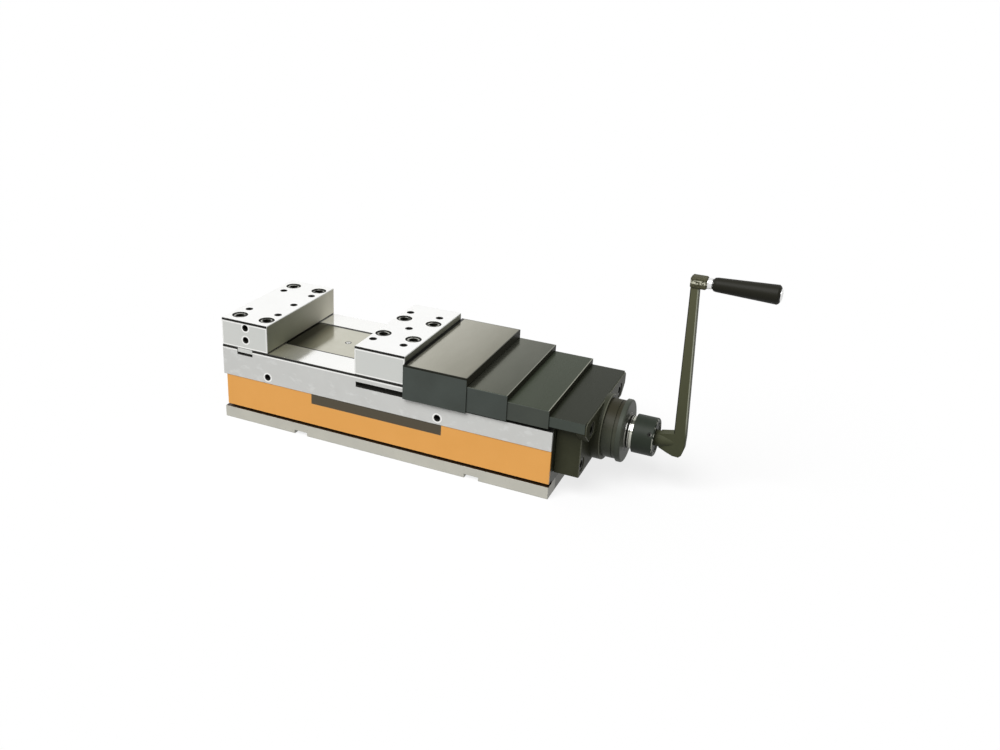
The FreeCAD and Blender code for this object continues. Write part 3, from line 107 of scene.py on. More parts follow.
class Recipe:
    """A tree of shader nodes, to which nodes are added by their inputs."""

    def __init__(self, tree):
        self.tree = tree

    def node(self, kind, settings=(), sockets=()):
        """Adds a node, sets it up, fills its sockets and returns its outputs as wires."""
        made = self.tree.nodes.new(kind)
        for name, value in dict(settings).items():
            setattr(made, name, value)
        for key, value in (sockets.items() if isinstance(sockets, dict) else enumerate(sockets)):
            self.fill(made.inputs[key], value)
        return [Wire(self, output) for output in made.outputs]

    def fill(self, socket, value):
        """Links a wire to a socket, or sets the socket's own value."""
        if isinstance(value, Wire):
            self.tree.links.new(value.socket, socket)
        else:
            socket.default_value = value

    def split(self, vector):
        """The three parts of a vector."""
        return self.node("ShaderNodeSeparateXYZ", {}, [vector])[:3]

    def blend(self, share, first, second):
        """A colour that goes from the first to the second with the share."""
        colours = {0: share, 6: first, 7: second}
        return self.node("ShaderNodeMix", {"data_type": "RGBA"}, colours)[2]


class Finish(Recipe):
    """One material made of nodes, on the vise's own coordinates in metres."""

    def __init__(self, name):
        self.material = bpy.data.materials.new(name)
        self.material.use_nodes = True
        super().__init__(self.material.node_tree)
        self.shader = self.tree.nodes["Principled BSDF"]
        coordinates = self.node("ShaderNodeTexCoord")
        self.place = coordinates[3]
        self.x, self.y, self.z = self.split(self.place)
        self.facing = coordinates[1]

    def noise(self, grain, stretch=(1, 1, 1), detail=3.0, spread=0.5):
        """Soft noise from 0 to 1, with features about as large as the grain, in metres."""
        along = self.node("ShaderNodeMapping", {}, {0: self.place, 3: stretch})[0]
        sockets = {"Vector": along, "Scale": 1 / grain, "Detail": detail, "Roughness": spread}
        return self.node("ShaderNodeTexNoise", {}, sockets)[0]

    def shine(self, **sockets):
        """Fills the shader's sockets, named with underscores for spaces."""
        for name, value in sockets.items():
            name = name.replace("_", " ").title().replace("Ior", "IOR")
            self.fill(self.shader.inputs[name], value)

    def relief(self, height, depth, edge):
        """Bumps the surface by a height, and rounds sharp edges by a radius in metres."""
        rounded = self.node("ShaderNodeBevel", {"samples": 6}, [edge])[0]
        sockets = {"Strength": 1.0, "Distance": depth, "Height": height, "Normal": rounded}
        self.fill(self.shader.inputs["Normal"], self.node("ShaderNodeBump", {}, sockets)[0])


def colour(red, green, blue):
    """A colour as a screen shows it, from 0 to 255, in the shader's own linear numbers."""
    shares = np.array([red, green, blue]) / 255
    return (*np.where(shares > 0.04045, ((shares + 0.055) / 1.055) ** 2.4, shares / 12.92), 1.0)


def dress(finish, *names):
    """Gives a finish to CAD nodes."""
    for name in names:
        mesh = nodes[name].data
        mesh.materials.clear()
        mesh.materials.append(finish.material)


SKIN = 0.0003
SOFT = 0.0004
FLAT_ON = (0.8, 0.2)
FLANGE_TOP = 0.015
GROOVE_TOP = 0.019
BAND_TOP = 0.0604
BAND_SIDE = 0.0765
CLAMP_GROOVE_FLOOR = 0.0675
RAIL_SIDE = 0.0545
BED_TOP = 0.1
BED_SIDE = 0.08
BED_END = 0.2175
BED_CHAMFER = 0.0009
STRIPE = ((-0.0895, 0.0845), (0.047, 0.0612))
COVER_GROOVE = (0.0841, 0.0910)
COVER_GROOVE_DEPTH = 0.006
GROOVE_START = -0.0275
TONGUE_SLOT = ((-0.1957, -0.1733), (0.0909, 0.0945))
SIDE_HOLES = (-0.03635, 0.11555, 0.0684)
OPEN_MOUTH = 0.0043
RIM = 0.0018
EDGE_LINE = 0.0028
GLINT_LINE = 0.0017
PLATE_SEAM = (0.0385, 0.0411)
FAR_SEAM = 0.002
RAIL_SHADE = (-0.12, 0.04)
SHADE = colour(20, 20, 15)
GLINT = colour(246, 246, 243)

bed_finish = Finish("bed_iron")
x, y, z = bed_finish.x, bed_finish.y, bed_finish.z
side = abs(y)
outside = side.above(BED_SIDE - SKIN)
up = bed_finish.split(bed_finish.facing)[2].above(*FLAT_ON)
grain = bed_finish.noise(0.0012, (0.15, 1, 1))
cloud = bed_finish.noise(0.03)
speck = bed_finish.noise(0.0025, detail=4).above(0.66, 0.05)
scuffs = bed_finish.noise(0.012, (1, 1, 1.6), 5, 0.6).above(0.6, 0.12)
ground = bed_finish.blend(cloud, colour(200, 200, 197), colour(210, 211, 208))
ground = bed_finish.blend(scuffs * 0.5, ground, colour(222, 223, 221))
flange = bed_finish.blend(cloud, colour(183, 182, 173), colour(199, 197, 185))
flange = bed_finish.blend(speck * 0.3, flange, colour(140, 138, 126))
ground = bed_finish.blend(~z.above(FLANGE_TOP), ground, flange)
milled = bed_finish.blend(grain, colour(96, 96, 88), colour(126, 125, 116))
iron = bed_finish.blend(side.above(RAIL_SIDE), milled, ground)
rail_top = up & z.above(BED_TOP - SKIN)
rail = bed_finish.blend(grain, colour(244, 244, 241), colour(252, 252, 250))
# The near rail's top beside the fixed jaw is painted darker: a painted shadow of the jaw.
rail = bed_finish.blend(x.above(*RAIL_SHADE) | y.above(0), colour(214, 211, 192), rail)
iron = bed_finish.blend(rail_top, iron, rail)
stripe = x.between(*STRIPE[0]) & z.between(*STRIPE[1]) & ~y.above(0)
paint = bed_finish.blend(cloud, colour(230, 164, 82), colour(236, 171, 90))
paint = bed_finish.blend(stripe, paint, colour(76, 69, 54))
painted = side.above(BAND_SIDE) & z.between(GROOVE_TOP, BAND_TOP)
iron = bed_finish.blend(painted, iron, paint)
from_hole = (abs(x - SIDE_HOLES[0]) - SIDE_HOLES[1]).apart(z - SIDE_HOLES[2])
# A painted glint rings each side hole's mouth and runs just below the sides' dark top edge.
painted_glint = from_hole.between(OPEN_MOUTH, OPEN_MOUTH + RIM, SOFT)
painted_glint = painted_glint | z.between(BED_TOP - EDGE_LINE - GLINT_LINE, BED_TOP - EDGE_LINE, SOFT)
iron = bed_finish.blend(painted_glint & outside, iron, GLINT)
# Painted shade: the cover groove, the tongue slot and the side holes are dark inside, and a dark
# line runs along the sides' top edge and chamfer. The seams beside the channel plate are dark
# joints.
corner = (side + z).above(BED_SIDE + BED_TOP - BED_CHAMFER) & ~up
corner = corner | (outside & z.above(BED_TOP - EDGE_LINE, SOFT))
in_groove = side.above(BED_SIDE - COVER_GROOVE_DEPTH) & z.between(*COVER_GROOVE)
in_groove = in_groove & (x.above(GROOVE_START) | ~outside)
in_slot = x.between(*TONGUE_SLOT[0]) & z.between(*TONGUE_SLOT[1])
in_hole = ~from_hole.above(OPEN_MOUTH, SOFT) & side.above(RAIL_SIDE)
seam = rail_top & side.between(PLATE_SEAM[0], y.above(0) * FAR_SEAM + PLATE_SEAM[1])
dark = in_groove | in_slot | in_hole | corner | seam
iron = bed_finish.blend(dark, iron, SHADE)
behind_bracket = x.above(BED_END - SKIN) & z.above(FLANGE_TOP + SKIN) & ~side.above(BAND_SIDE)
iron = bed_finish.blend(behind_bracket, iron, colour(50, 52, 40))
# The clamping groove is painted dark brown, partly as painted shade.
in_clamp_groove = side.above(CLAMP_GROOVE_FLOOR) & ~outside
in_clamp_groove = in_clamp_groove & z.between(FLANGE_TOP - SKIN, GROOVE_TOP)
iron = bed_finish.blend(in_clamp_groove, iron, colour(58, 41, 24))
bed_finish.shine(base_color=iron, metallic=(0.2 - painted * 0.2 + rail_top * 0.62) & ~dark,
                 roughness=0.42 - painted * 0.1 - rail_top * 0.34 + grain * 0.04 + dark * 0.4,
                 specular_ior_level=0.3)
bed_finish.relief(grain & ~painted, 0.00003, 0.0004)
dress(bed_finish, "bed")

# The jaws: blocks of hardened steel, ground on every face. The tops are painted brightest, as
# painted light, fine grinding lines run across each face, and the tapped and stepped holes are
# painted dark inside, as shade.

JAW_TOP = 0.136
JAW_CHAMFER = 0.0008
SOLE_LINE = 0.0006
FOOT_LINE = 0.0008
TONGUE_LINE = 0.001
COUNTERBORE = 0.0095
TOP_MOUTH = 0.0048
FIXED_JAW = {"tapped": (-0.1825, 0.0215, 0.0395), "screws": (-0.1828, 0.0197, 0.0614),
             "middle": -0.1631}
MOVABLE_JAW = {"tapped": (-0.00045, 0.02025, 0.05), "screws": (0.0018, 0.0201, 0.028),
               "middle": 0.00195}
STOP_HOLES = (-0.1825, 0.12, 0.008)
PAINTED_SHADOW_TOP = 0.1286
GRINDING = (0.0007, (1, 0.04, 1))
HAZE = 0.045


def from_holes(finish, middle, half_x, half_y):
    """How far a point is from the nearest of four upright holes round a place on the X axis."""
    return (abs(finish.x - middle) - half_x).apart(abs(finish.y) - half_y)


def jaw_steel(node, holes, face):
    """Ground steel with a top painted lighter than the sides, as painted light, holes and eased
    edges painted dark, as shade, a dark line at the foot, and a painted glint round each mouth
    and along the flanks' edges.

    The face towards the crank is painted with shade given by a function of the finish.
    """
    finish = Finish(node + "_steel")
    x, y, z = finish.x, finish.y, finish.z
    left, right = (corner[0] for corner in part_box(node))
    lines = finish.noise(*GRINDING)
    haze = finish.noise(HAZE)
    over_x, _, over_z = finish.split(finish.facing)
    top = over_z.above(*FLAT_ON)
    towards_crank = over_x.above(*FLAT_ON)
    flank = abs(y).above(BED_SIDE - SKIN)
    # Painted light: the top is lighter than the sides.
    sides = finish.blend(haze, colour(207, 209, 205), colour(213, 214, 210))
    crown = finish.blend(lines * 0.3 + haze * 0.7, colour(240, 240, 238), colour(249, 249, 248))
    shade = finish.blend(towards_crank, finish.blend(top, sides, crown), face(finish))
    tapped = from_holes(finish, *holes["tapped"])
    middle = (x - holes["middle"]).apart(y)
    stepped = from_holes(finish, *holes["screws"])
    stop = (x - STOP_HOLES[0]).apart(abs(z - STOP_HOLES[1]) - STOP_HOLES[2])
    inner = x.between(left + GLINT_LINE, right - GLINT_LINE, SOFT)
    inner = inner & z.between(BED_TOP + SOLE_LINE + GLINT_LINE,
                              JAW_TOP - EDGE_LINE - GLINT_LINE, SOFT)
    # A painted glint along the flanks' edges and round the counterbores and stop holes.
    painted_glint = (z.above(BED_TOP) & ~inner) | stop.between(OPEN_MOUTH, OPEN_MOUTH + RIM, SOFT)
    painted_glint = (painted_glint & flank) | (stepped.between(COUNTERBORE, COUNTERBORE + RIM, SOFT) & top)
    # Painted shade inside the holes, on the eased edges and on the tongue below the bed's top.
    inside = ~tapped.above(TOP_MOUTH, SOFT) | ~middle.above(TOP_MOUTH, SOFT)
    inside = inside | ~stepped.above(COUNTERBORE + SKIN, SOFT) | ~stop.above(OPEN_MOUTH, SOFT)
    eased = (abs(y) + z).above(BED_SIDE + JAW_TOP - JAW_CHAMFER) & ~top
    eased = eased | (flank & z.above(JAW_TOP - EDGE_LINE, SOFT))
    sole = z.between(BED_TOP, towards_crank * FOOT_LINE + (BED_TOP + SOLE_LINE), SOFT)
    tongue = TONGUE_SLOT[0][0]
    sole = sole | (x.between(tongue - SKIN, tongue + TONGUE_LINE) & ~z.above(BED_TOP))
    dark = inside | eased | sole | ~z.above(TONGUE_SLOT[1][1])
    shade = finish.blend(dark, finish.blend(painted_glint, shade, GLINT), SHADE)
    finish.shine(base_color=shade, roughness=0.34 + lines * 0.1 + dark * 0.5,
                 metallic=(0.25 - towards_crank * 0.25) & ~dark, specular_ior_level=0.25)
    finish.relief(lines, 0.00003, 0.0005)
    return finish


def gripping_face(finish):
    """Painted shade: grey, and lighter towards the far end of the jaw."""
    far = finish.y.above(0, 2 * BED_SIDE)
    return finish.blend(far & far, colour(126, 128, 110), colour(238, 234, 216))


def jaw_back(finish):
    """Grey painted shade, lighter to the far end, and a painted shadow by the cover."""
    grey = finish.blend(finish.y.above(0, BED_SIDE), colour(98, 100, 88), colour(132, 134, 120))
    return finish.blend(finish.z.above(PAINTED_SHADOW_TOP, SOFT), colour(30, 30, 22), grey)


dress(jaw_steel("fixed_jaw", FIXED_JAW, gripping_face), "fixed_jaw")
dress(jaw_steel("movable_jaw", MOVABLE_JAW, jaw_back), "movable_jaw")

# Socket-head screws: steel blackened by heat and oil. They are painted dark as shade in their
# recesses, save a ring round each six-sided socket of the jaws' screws and the set screw's face,
# which keep the steel's colour with painted glints in spots.

HEAD_TOP = 0.1347
HEAD_RING = (0.0057, 0.0073)
BRACKET_RECESS = (0.2457, 0.2464)
BRACKET_HEAD = 0.2533
SET_SCREW_SOCKET = 0.3104


def screw_steel(name, unshaded):
    """Blackened steel with painted glints, and painted shade where a function's mask is 0."""
    finish = Finish(name)
    grain = finish.noise(0.0008)
    # Painted glints in spots.
    painted_glints = finish.noise(0.006, detail=2).above(0.53, 0.1)
    shade = finish.blend(grain, colour(40, 40, 34), colour(52, 52, 46))
    shade = finish.blend(unshaded(finish), SHADE, finish.blend(painted_glints, shade, colour(176, 176, 168)))
    finish.shine(base_color=shade, roughness=0.35 + grain * 0.15, metallic=0.0,
                 specular_ior_level=0.15)
    finish.relief(grain, 0.00002, 0.0006)
    return finish


def head_ring(holes):
    """The mask of the rings on four screw heads, as a function of the finish."""
    return lambda finish: (from_holes(finish, *holes["screws"]).between(*HEAD_RING)
                           & finish.z.above(HEAD_TOP))


def bracket_head(finish):
    """A faint mask over the heads of the bracket's screws."""
    return (finish.x.between(*BRACKET_RECESS) | finish.x.above(BRACKET_HEAD)) * 0.35


dress(screw_steel("fixed_jaw_screws_black", head_ring(FIXED_JAW)), "fixed_jaw_screws")
dress(screw_steel("movable_jaw_screws_black", head_ring(MOVABLE_JAW)), "movable_jaw_screws")
dress(screw_steel("bracket_screws", bracket_head), "bracket_screws")
dress(screw_steel("set_screw", lambda finish: finish.x.above(SET_SCREW_SOCKET)), "crank_screw")

# Small screws, springs, rings and keys: steel, ground or rolled to size and left plain. They
# hold the inner pieces together and are mostly hidden.


def ground_steel(name, dark, light, roughness=0.35, metallic=0.2):
    """Bright steel with the fine lines that a grinding wheel leaves."""
    finish = Finish(name)
    lines = finish.noise(*GRINDING)
    haze = finish.noise(HAZE)
    shade = finish.blend(lines * 0.35 + haze * 0.65, dark, light)
    finish.shine(base_color=shade, roughness=roughness + lines * 0.12, metallic=metallic)
    finish.relief(lines, 0.00003, 0.0007)
    return finish


dress(ground_steel("small_screws", colour(78, 78, 72), colour(110, 110, 103), 0.35, 0.6),
      "end_cover_screws", "nut_screws", "cover_screws", "snap_ring", "disc_springs", "piston_nut",
      "spindle_key")

# The slide under the movable jaw, and the flat plate that it pushes along the channel. The
# plate is ground and lightly oiled, so it mirrors the jaws, and a screw sits in its middle.

PLATE_SHADE = (-0.127, 0.02)
PLATE_SCREW = -0.083
SCREW_RING = (0.0028, 0.0042)

dress(ground_steel("slide_iron", colour(104, 104, 98), colour(128, 128, 121), 0.45), "slide")
plate_finish = Finish("channel_steel")
oil = plate_finish.noise(0.02, detail=4)
shade = plate_finish.blend(oil, colour(186, 184, 168), colour(206, 204, 190))
# Towards the fixed jaw the plate is painted dark: a painted reflection of the jaw's shaded face.
shade = plate_finish.blend(plate_finish.x.above(*PLATE_SHADE), colour(70, 68, 50), shade)
from_screw = (plate_finish.x - PLATE_SCREW).apart(plate_finish.y)
# A painted glint covers the screw's place; the ring round it and the plate's edges are dark joints.
shade = plate_finish.blend(from_screw.above(SCREW_RING[0], SOFT), GLINT, shade)
dark = abs(plate_finish.y).above(PLATE_SEAM[0]) | from_screw.between(*SCREW_RING, SOFT)
shade = plate_finish.blend(dark, shade, SHADE)
plate_finish.shine(base_color=shade, roughness=0.09 + oil * 0.08, metallic=~dark)
plate_finish.relief(plate_finish.noise(0.0008, (0.05, 1, 1)), 0.000006, 0.0003)
dress(plate_finish, "channel_plate")

# Bushes, nut, friction ring and ball cage: turned from bronze, so that steel runs in them. The
# bushes are pressed into the iron and the nut is screwed to the slide, all out of sight.

dress(ground_steel("bronze", colour(150, 112, 62), colour(176, 136, 80), 0.35, 0.8),
      "front_bush", "hub_bush", "spindle_nut", "friction_ring", "ball_cage")

# The telescopic covers: folded steel sheets with a dark satin surface. Each one's flat top
# carries its own painted reflection, and the outermost's is the lightest.

FOLD = 0.0018
SHEET_TOP = (0.8, 0.3)
PAINTED_GAP_SHADOW = 0.004
END_HIGHLIGHT = 0.0012
FOLD_SHADE = colour(24, 25, 18)
SKIRT = colour(79, 85, 81)
LIP = colour(38, 38, 27)
# Each cover: the top's painted reflection at its left and right ends, the painted highlight along
# the end's upper edge (a dark line on cover_1), the skirt's colour, the share the top mirrors, and
# the top's blur.
COVERS = {
    "cover_1": (colour(180, 178, 165), colour(116, 114, 98), colour(60, 60, 48), SKIRT, 0.9, 0.13),
    "cover_2": (colour(114, 115, 103), colour(64, 67, 53), colour(122, 123, 111), SKIRT, 0.8, 0.18),
    "cover_3": (colour(70, 76, 63), colour(56, 62, 49), colour(138, 139, 126), colour(79, 83, 76),
                0.1, 0.25),
    "end_cover": (colour(46, 49, 39), colour(40, 43, 33), colour(46, 49, 39), colour(76, 83, 76),
                  0.0, 0.25),
}


def cover_sheet(node, top_left, top_right, rim, skirt, mirror, blur):
    """A satin sheet whose top mirrors by the given share what stands behind it.

    The top carries a painted reflection whose colour changes from left to right, its folds are
    painted dark as shade and its end is dark, and a painted highlight in the given rim colour
    runs along the end's upper edge. A band by its left edge is a painted shadow of the gap there.
    """
    finish = Finish(node + "_satin")
    x, y, z = finish.x, finish.y, finish.z
    over_x, _, over_z = finish.split(finish.facing)
    facing_up = over_z.above(*SHEET_TOP)
    lip = over_x.above(*SHEET_TOP)
    streaks = finish.noise(0.02, (1, 0.3, 1), 4)
    (left, _, _), (right, half, crown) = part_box(node)
    along = x.above((left + right) / 2, right - left)
    # Painted reflection: the top's colour goes from left to right.
    top = finish.blend(streaks * 0.3 + along * 0.7, top_left, top_right)
    # A painted shadow of the gap at the left end.
    top = finish.blend(x.above(left + PAINTED_GAP_SHADOW, SOFT), FOLD_SHADE, top)
    # A painted highlight along the end's upper edge.
    top = finish.blend(x.above(right - END_HIGHLIGHT, SOFT), top, rim)
    sides = finish.blend(finish.noise(0.03), skirt, colour(66, 70, 66))
    folded = (abs(y) + z).above(half + crown - FOLD, SOFT)
    shade = finish.blend(folded, finish.blend(facing_up, sides, top), FOLD_SHADE)
    finish.shine(base_color=finish.blend(lip, shade, LIP),
                 roughness=0.42 - facing_up * (0.42 - blur) + streaks * 0.04,
                 metallic=facing_up * mirror & ~folded, specular_ior_level=0.06)
    finish.relief(finish.noise(0.0009), 0.000006, 0.0004)
    return finish


for node, looks in COVERS.items():
    dress(cover_sheet(node, *looks), node)

# The end bracket, the hub and the coupling: steel, blackened by a hot oil bath. The coupling's
# outer rim carries painted glints in spots.

SKYWARDS = (0.4, 0.8)
CHAMFERED = (0.45, 0.85, 0.1)
COUPLING_RIM = 0.3133
COUPLING_DARK = colour(33, 38, 31)
COUPLING_LIGHT = colour(44, 50, 42)


def blackened(name, dark, light, crown):
    """Blackened steel, a little uneven, with painted shading where it faces up and lit chamfers."""
    finish = Finish(name)
    fine = finish.noise(0.0006)
    over_x, _, over_z = finish.split(finish.facing)
    shade = finish.blend(finish.noise(0.012, detail=4), dark, light)
    # Faces turned up are painted in the crown colour, as painted shading.
    shade = finish.blend(over_z.above(*SKYWARDS), shade, crown)
    # Chamfers turned partly towards +X carry a painted highlight.
    shade = finish.blend(over_x.between(*CHAMFERED) * 0.7, shade, colour(118, 119, 104))
    finish.shine(base_color=shade, roughness=0.4 + fine * 0.15, metallic=0.0,
                 specular_ior_level=0.12)
    finish.relief(fine, 0.00002, 0.0006)
    return finish


dress(blackened("bracket_dark", colour(44, 45, 31), colour(58, 59, 44), colour(50, 52, 40)),
      "end_bracket")
dress(blackened("hub_dark", colour(62, 65, 55), colour(76, 79, 68), colour(44, 42, 29)),
      "hub_housing", "booster_cylinder", "cylinder_head")
coupling_finish = blackened("coupling_dark", COUPLING_DARK, COUPLING_LIGHT, COUPLING_DARK)
# Painted glints in spots on the coupling's outer rim.
rim_glints = coupling_finish.noise(0.004).above(0.56, 0.06) & coupling_finish.x.above(COUPLING_RIM, SOFT)
steel = coupling_finish.blend(coupling_finish.noise(0.012, detail=4), COUPLING_DARK, COUPLING_LIGHT)
coupling_finish.shine(base_color=coupling_finish.blend(rim_glints, steel, colour(168, 169, 158)))
dress(coupling_finish, "coupling")

# The end cap: its outer face is rubbed grey, its rounded rim stays dark, and the ring round its
# mouth is as bright as the sleeve that comes out of it. Both carry painted reflections in bands,
# and the bore and the lines round the ring are painted dark as shade.

AXIS = 0.0655
CAP_FACE = 0.2816
CAP_MOUTH = (0.0198, 0.0222)
MOUTH_GROOVE = (0.0206, 0.0213)
MOUTH_EDGE = 0.0007
LATHE_LINES = 9000
PAINTED_REFLECTIONS = ((0.0810, 0.0836, 0.9, colour(50, 52, 42)), (0.0750, 0.0808, 1.0, colour(250, 250, 246)),
           (0.0736, 0.0748, 0.8, colour(70, 72, 62)), (0.0440, 0.0500, 0.9, colour(50, 52, 42)))


def with_painted_reflections(finish, shade):
    """A bright colour with painted reflections: bands of light and dark on the near side."""
    for low, high, amount, tone in PAINTED_REFLECTIONS:
        reflection = finish.z.between(low, high, 2 * SOFT) & ~finish.y.above(0)
        shade = finish.blend(reflection * amount, shade, tone)
    return shade


cap_finish = Finish("hub_face")
from_axis = cap_finish.y.apart(cap_finish.z - AXIS)
rings = (from_axis * LATHE_LINES).worked("SINE") * 0.5 + 0.5
cloud = cap_finish.noise(0.012, detail=4)
face = cap_finish.blend(rings * 0.3 + cloud * 0.7, colour(70, 73, 62), colour(92, 95, 84))
mouth = with_painted_reflections(cap_finish, colour(170, 170, 158))
face = cap_finish.blend(from_axis.above(CAP_MOUTH[1], SOFT), mouth, face)
# Painted shade: the bore and the lines round the bright ring are dark.
grooved = from_axis.between(*MOUTH_GROOVE) | ~from_axis.above(CAP_MOUTH[0])
grooved = grooved | from_axis.between(CAP_MOUTH[1], CAP_MOUTH[1] + MOUTH_EDGE)
face = cap_finish.blend(grooved, face, SHADE)
rim = cap_finish.blend(cloud, colour(58, 62, 54), colour(70, 74, 65))
cap_finish.shine(base_color=cap_finish.blend(cap_finish.x.above(CAP_FACE, SOFT), rim, face),
                 roughness=0.45, metallic=0.0, specular_ior_level=0.12)
cap_finish.relief(cap_finish.noise(0.0006), 0.00002, 0.0006)
dress(cap_finish, "end_cap")

# Piston, pressure rod, races and the ring sleeve: polished steel. The sleeve's three grooves
# are painted dark as shade, and mark off the rings that show the clamping force.

SLEEVE_GROOVES = 0.0187
SLEEVE_DARK = (0.2829, 0.2854)

dress(ground_steel("bright_steel", colour(206, 206, 200), colour(232, 232, 228), 0.18, 0.7),
      "booster_piston", "plunger", "fixed_race", "turning_race", "thrust_balls", "plate_screw")
sleeve_finish = Finish("ring_steel")
grain = sleeve_finish.noise(0.0008, (1, 0.3, 0.3))
shade = sleeve_finish.blend(grain, colour(178, 178, 166), colour(206, 206, 196))
from_axis = sleeve_finish.y.apart(sleeve_finish.z - AXIS)
# The grooves and the band of narrow rings are painted dark as shade; the painted reflections of the
# cap's mouth go on over them.
grooved = sleeve_finish.x.between(*SLEEVE_DARK) | ~from_axis.above(SLEEVE_GROOVES)
shade = sleeve_finish.blend(grooved, with_painted_reflections(sleeve_finish, shade), SHADE)
sleeve_finish.shine(base_color=shade, roughness=0.35 + grain * 0.08, metallic=0.4,
                    specular_ior_level=0.2)
dress(sleeve_finish, "ring_sleeve")

# Seals: rings of moulded black rubber. They sit in grooves in the end cap and the booster, and
# keep the oil in and the dirt out.

rubber_finish = Finish("seal_rubber")
rubber = rubber_finish.blend(rubber_finish.noise(0.001), colour(24, 24, 24), colour(38, 38, 36))
rubber_finish.shine(base_color=rubber, roughness=0.7)
dress(rubber_finish, "end_cap_seal", "head_seal", "plunger_seal", "piston_seal")

# The screw spindle: rolled steel with a trapezoid thread of 5 mm lead, a journal at the far
# end and a stub for the booster's piston. It turns in the nut under the movable jaw.

LEAD = 0.005
THREAD_RADIUS = 0.015
THREAD_DEPTH = 0.0025
THREAD_SPAN = (-0.18375, 0.204)
THREAD_CORNERS = [(0.0, 0.0), (0.366, 0.0), (0.5, 1.0), (0.866, 1.0)]
RUN_OUT = 0.006
TURN_STEPS = 64
FAR_END = [(-0.20875, 0.0), (-0.20875, 0.009), (-0.20775, 0.01), (-0.18525, 0.01),
           (-0.18525, 0.0135)]
NEAR_END = [(0.205, 0.014), (0.2383, 0.014), (0.2383, 0.012), (0.253, 0.012), (0.253, 0.0086),
            (0.243, 0.0086), (0.243, 0.0)]
MERGED = 0.00001


def spindle_mesh():
    """A thread between turned ends.

    Each corner of the thread's section, given as a share of the lead and of the depth, is
    carried round and along by one lead a turn. Its place is held within the span, and its depth
    fades out towards both ends of the span. The ends are rings of the given places and radii.
    """
    angle = np.linspace(0, 2 * np.pi, TURN_STEPS + 1)[:, None]
    left, right = THREAD_SPAN
    corners = np.array(THREAD_CORNERS)
    turns = np.arange(int((right - left) / LEAD) + 3)
    start = (left - LEAD + LEAD * (turns[:, None] + corners[None, :, 0])).reshape(1, -1)
    cut_in = np.tile(corners[:, 1], len(turns))[None, :]
    along = np.clip(start + LEAD * angle / (2 * np.pi), left, right)
    fade = np.clip(np.minimum(along - left, right - along) / RUN_OUT, 0, 1)
    radius = THREAD_RADIUS - THREAD_DEPTH * cut_in * fade
    far, near = (np.array(end).T[:, None, :].repeat(TURN_STEPS + 1, axis=1)
                 for end in (FAR_END, NEAR_END))
    along = np.hstack([far[0], along, near[0]])
    radius = np.hstack([far[1], radius, near[1]])
    points = np.stack([along, radius * np.cos(angle), AXIS + radius * np.sin(angle)], axis=-1)
    index = np.arange(along.size).reshape(along.shape)
    squares = np.stack([index[:-1, :-1], index[1:, :-1], index[1:, 1:], index[:-1, 1:]], axis=-1)
    mesh = bpy.data.meshes.new("threaded_spindle")
    mesh.from_pydata(points.reshape(-1, 3).tolist(), [], squares.reshape(-1, 4).tolist())
    loose = bmesh.new()
    loose.from_mesh(mesh)
    bmesh.ops.remove_doubles(loose, verts=loose.verts, dist=MERGED)
    bmesh.ops.recalc_face_normals(loose, faces=loose.faces)
    loose.to_mesh(mesh)
    loose.free()
    return mesh


spindle = bpy.data.objects.new("threaded_spindle", spindle_mesh())
bpy.context.scene.collection.objects.link(spindle)
spindle_finish = ground_steel("spindle_steel", colour(150, 150, 142), colour(190, 190, 184),
                              0.25, 0.7)
spindle.data.materials.append(spindle_finish.material)
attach(spindle, "spindle")
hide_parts("spindle")

# The crank: a forging, blackened, with a painted highlight along the bevel of the arm's outer
# side, and a speckled, worn eye where the grip's bolt goes in, crossed by a painted highlight band.

ELBOW = 0.085
ARM_FADE = (0.14, 0.2)
EYE_BOTTOM = 0.2475
EYE_HIGHLIGHT_BAND = (0.2535, 0.2575)
OUTWARDS = (-0.35, 0.3)
BEVELLED = (0.25, 0.95, 0.2)

crank_finish = Finish("crank_steel")
over_x, over_y, _ = crank_finish.split(crank_finish.facing)
scale = crank_finish.noise(0.0015, detail=5, spread=0.7)
cloud = crank_finish.noise(0.012, detail=4)
steel = crank_finish.blend(cloud, colour(56, 59, 42), colour(68, 70, 52))
steel = crank_finish.blend(crank_finish.z.above(*ARM_FADE), steel, colour(88, 88, 66))
steel = crank_finish.blend(over_x.above(*OUTWARDS), colour(30, 32, 24), steel)
# A painted highlight along the arm's outer bevel.
bevel_highlight = over_x.between(*BEVELLED) & ~over_y.above(0, 0.2) & crank_finish.z.above(ELBOW, 0.02)
steel = crank_finish.blend(bevel_highlight * 0.85, steel, colour(176, 178, 160))
eye = crank_finish.blend(scale.above(0.5, 0.25), colour(52, 51, 35), colour(88, 86, 66))
# A painted highlight band across the eye, broken into specks.
eye_highlight = crank_finish.z.between(*EYE_HIGHLIGHT_BAND, 0.001) & scale.above(0.5, 0.1)
eye = crank_finish.blend(eye_highlight, eye, colour(206, 205, 184))
steel = crank_finish.blend(crank_finish.z.above(EYE_BOTTOM, 0.002), steel, eye)
crank_finish.shine(base_color=steel, roughness=0.5 + scale * 0.15, metallic=0.0,
                   specular_ior_level=0.12)
crank_finish.relief(scale, 0.00005, 0.0008)
dress(crank_finish, "crank")

# The grip: moulded black plastic, a little rough. It turns freely on a chromed bolt with a
# collar, and the bolt is screwed into the crank's eye.

grip_finish = Finish("grip_plastic")
moulded = grip_finish.noise(0.0006)
plastic = grip_finish.blend(moulded, colour(24, 24, 17), colour(31, 30, 22))
grip_finish.shine(base_color=plastic, roughness=0.5, specular_ior_level=0.12)
grip_finish.relief(moulded, 0.00002, 0.0006)
dress(grip_finish, "grip")
dress(ground_steel("chrome", colour(214, 214, 212), colour(236, 236, 236), 0.12, 0.85),
      "grip_collar", "grip_bolt")

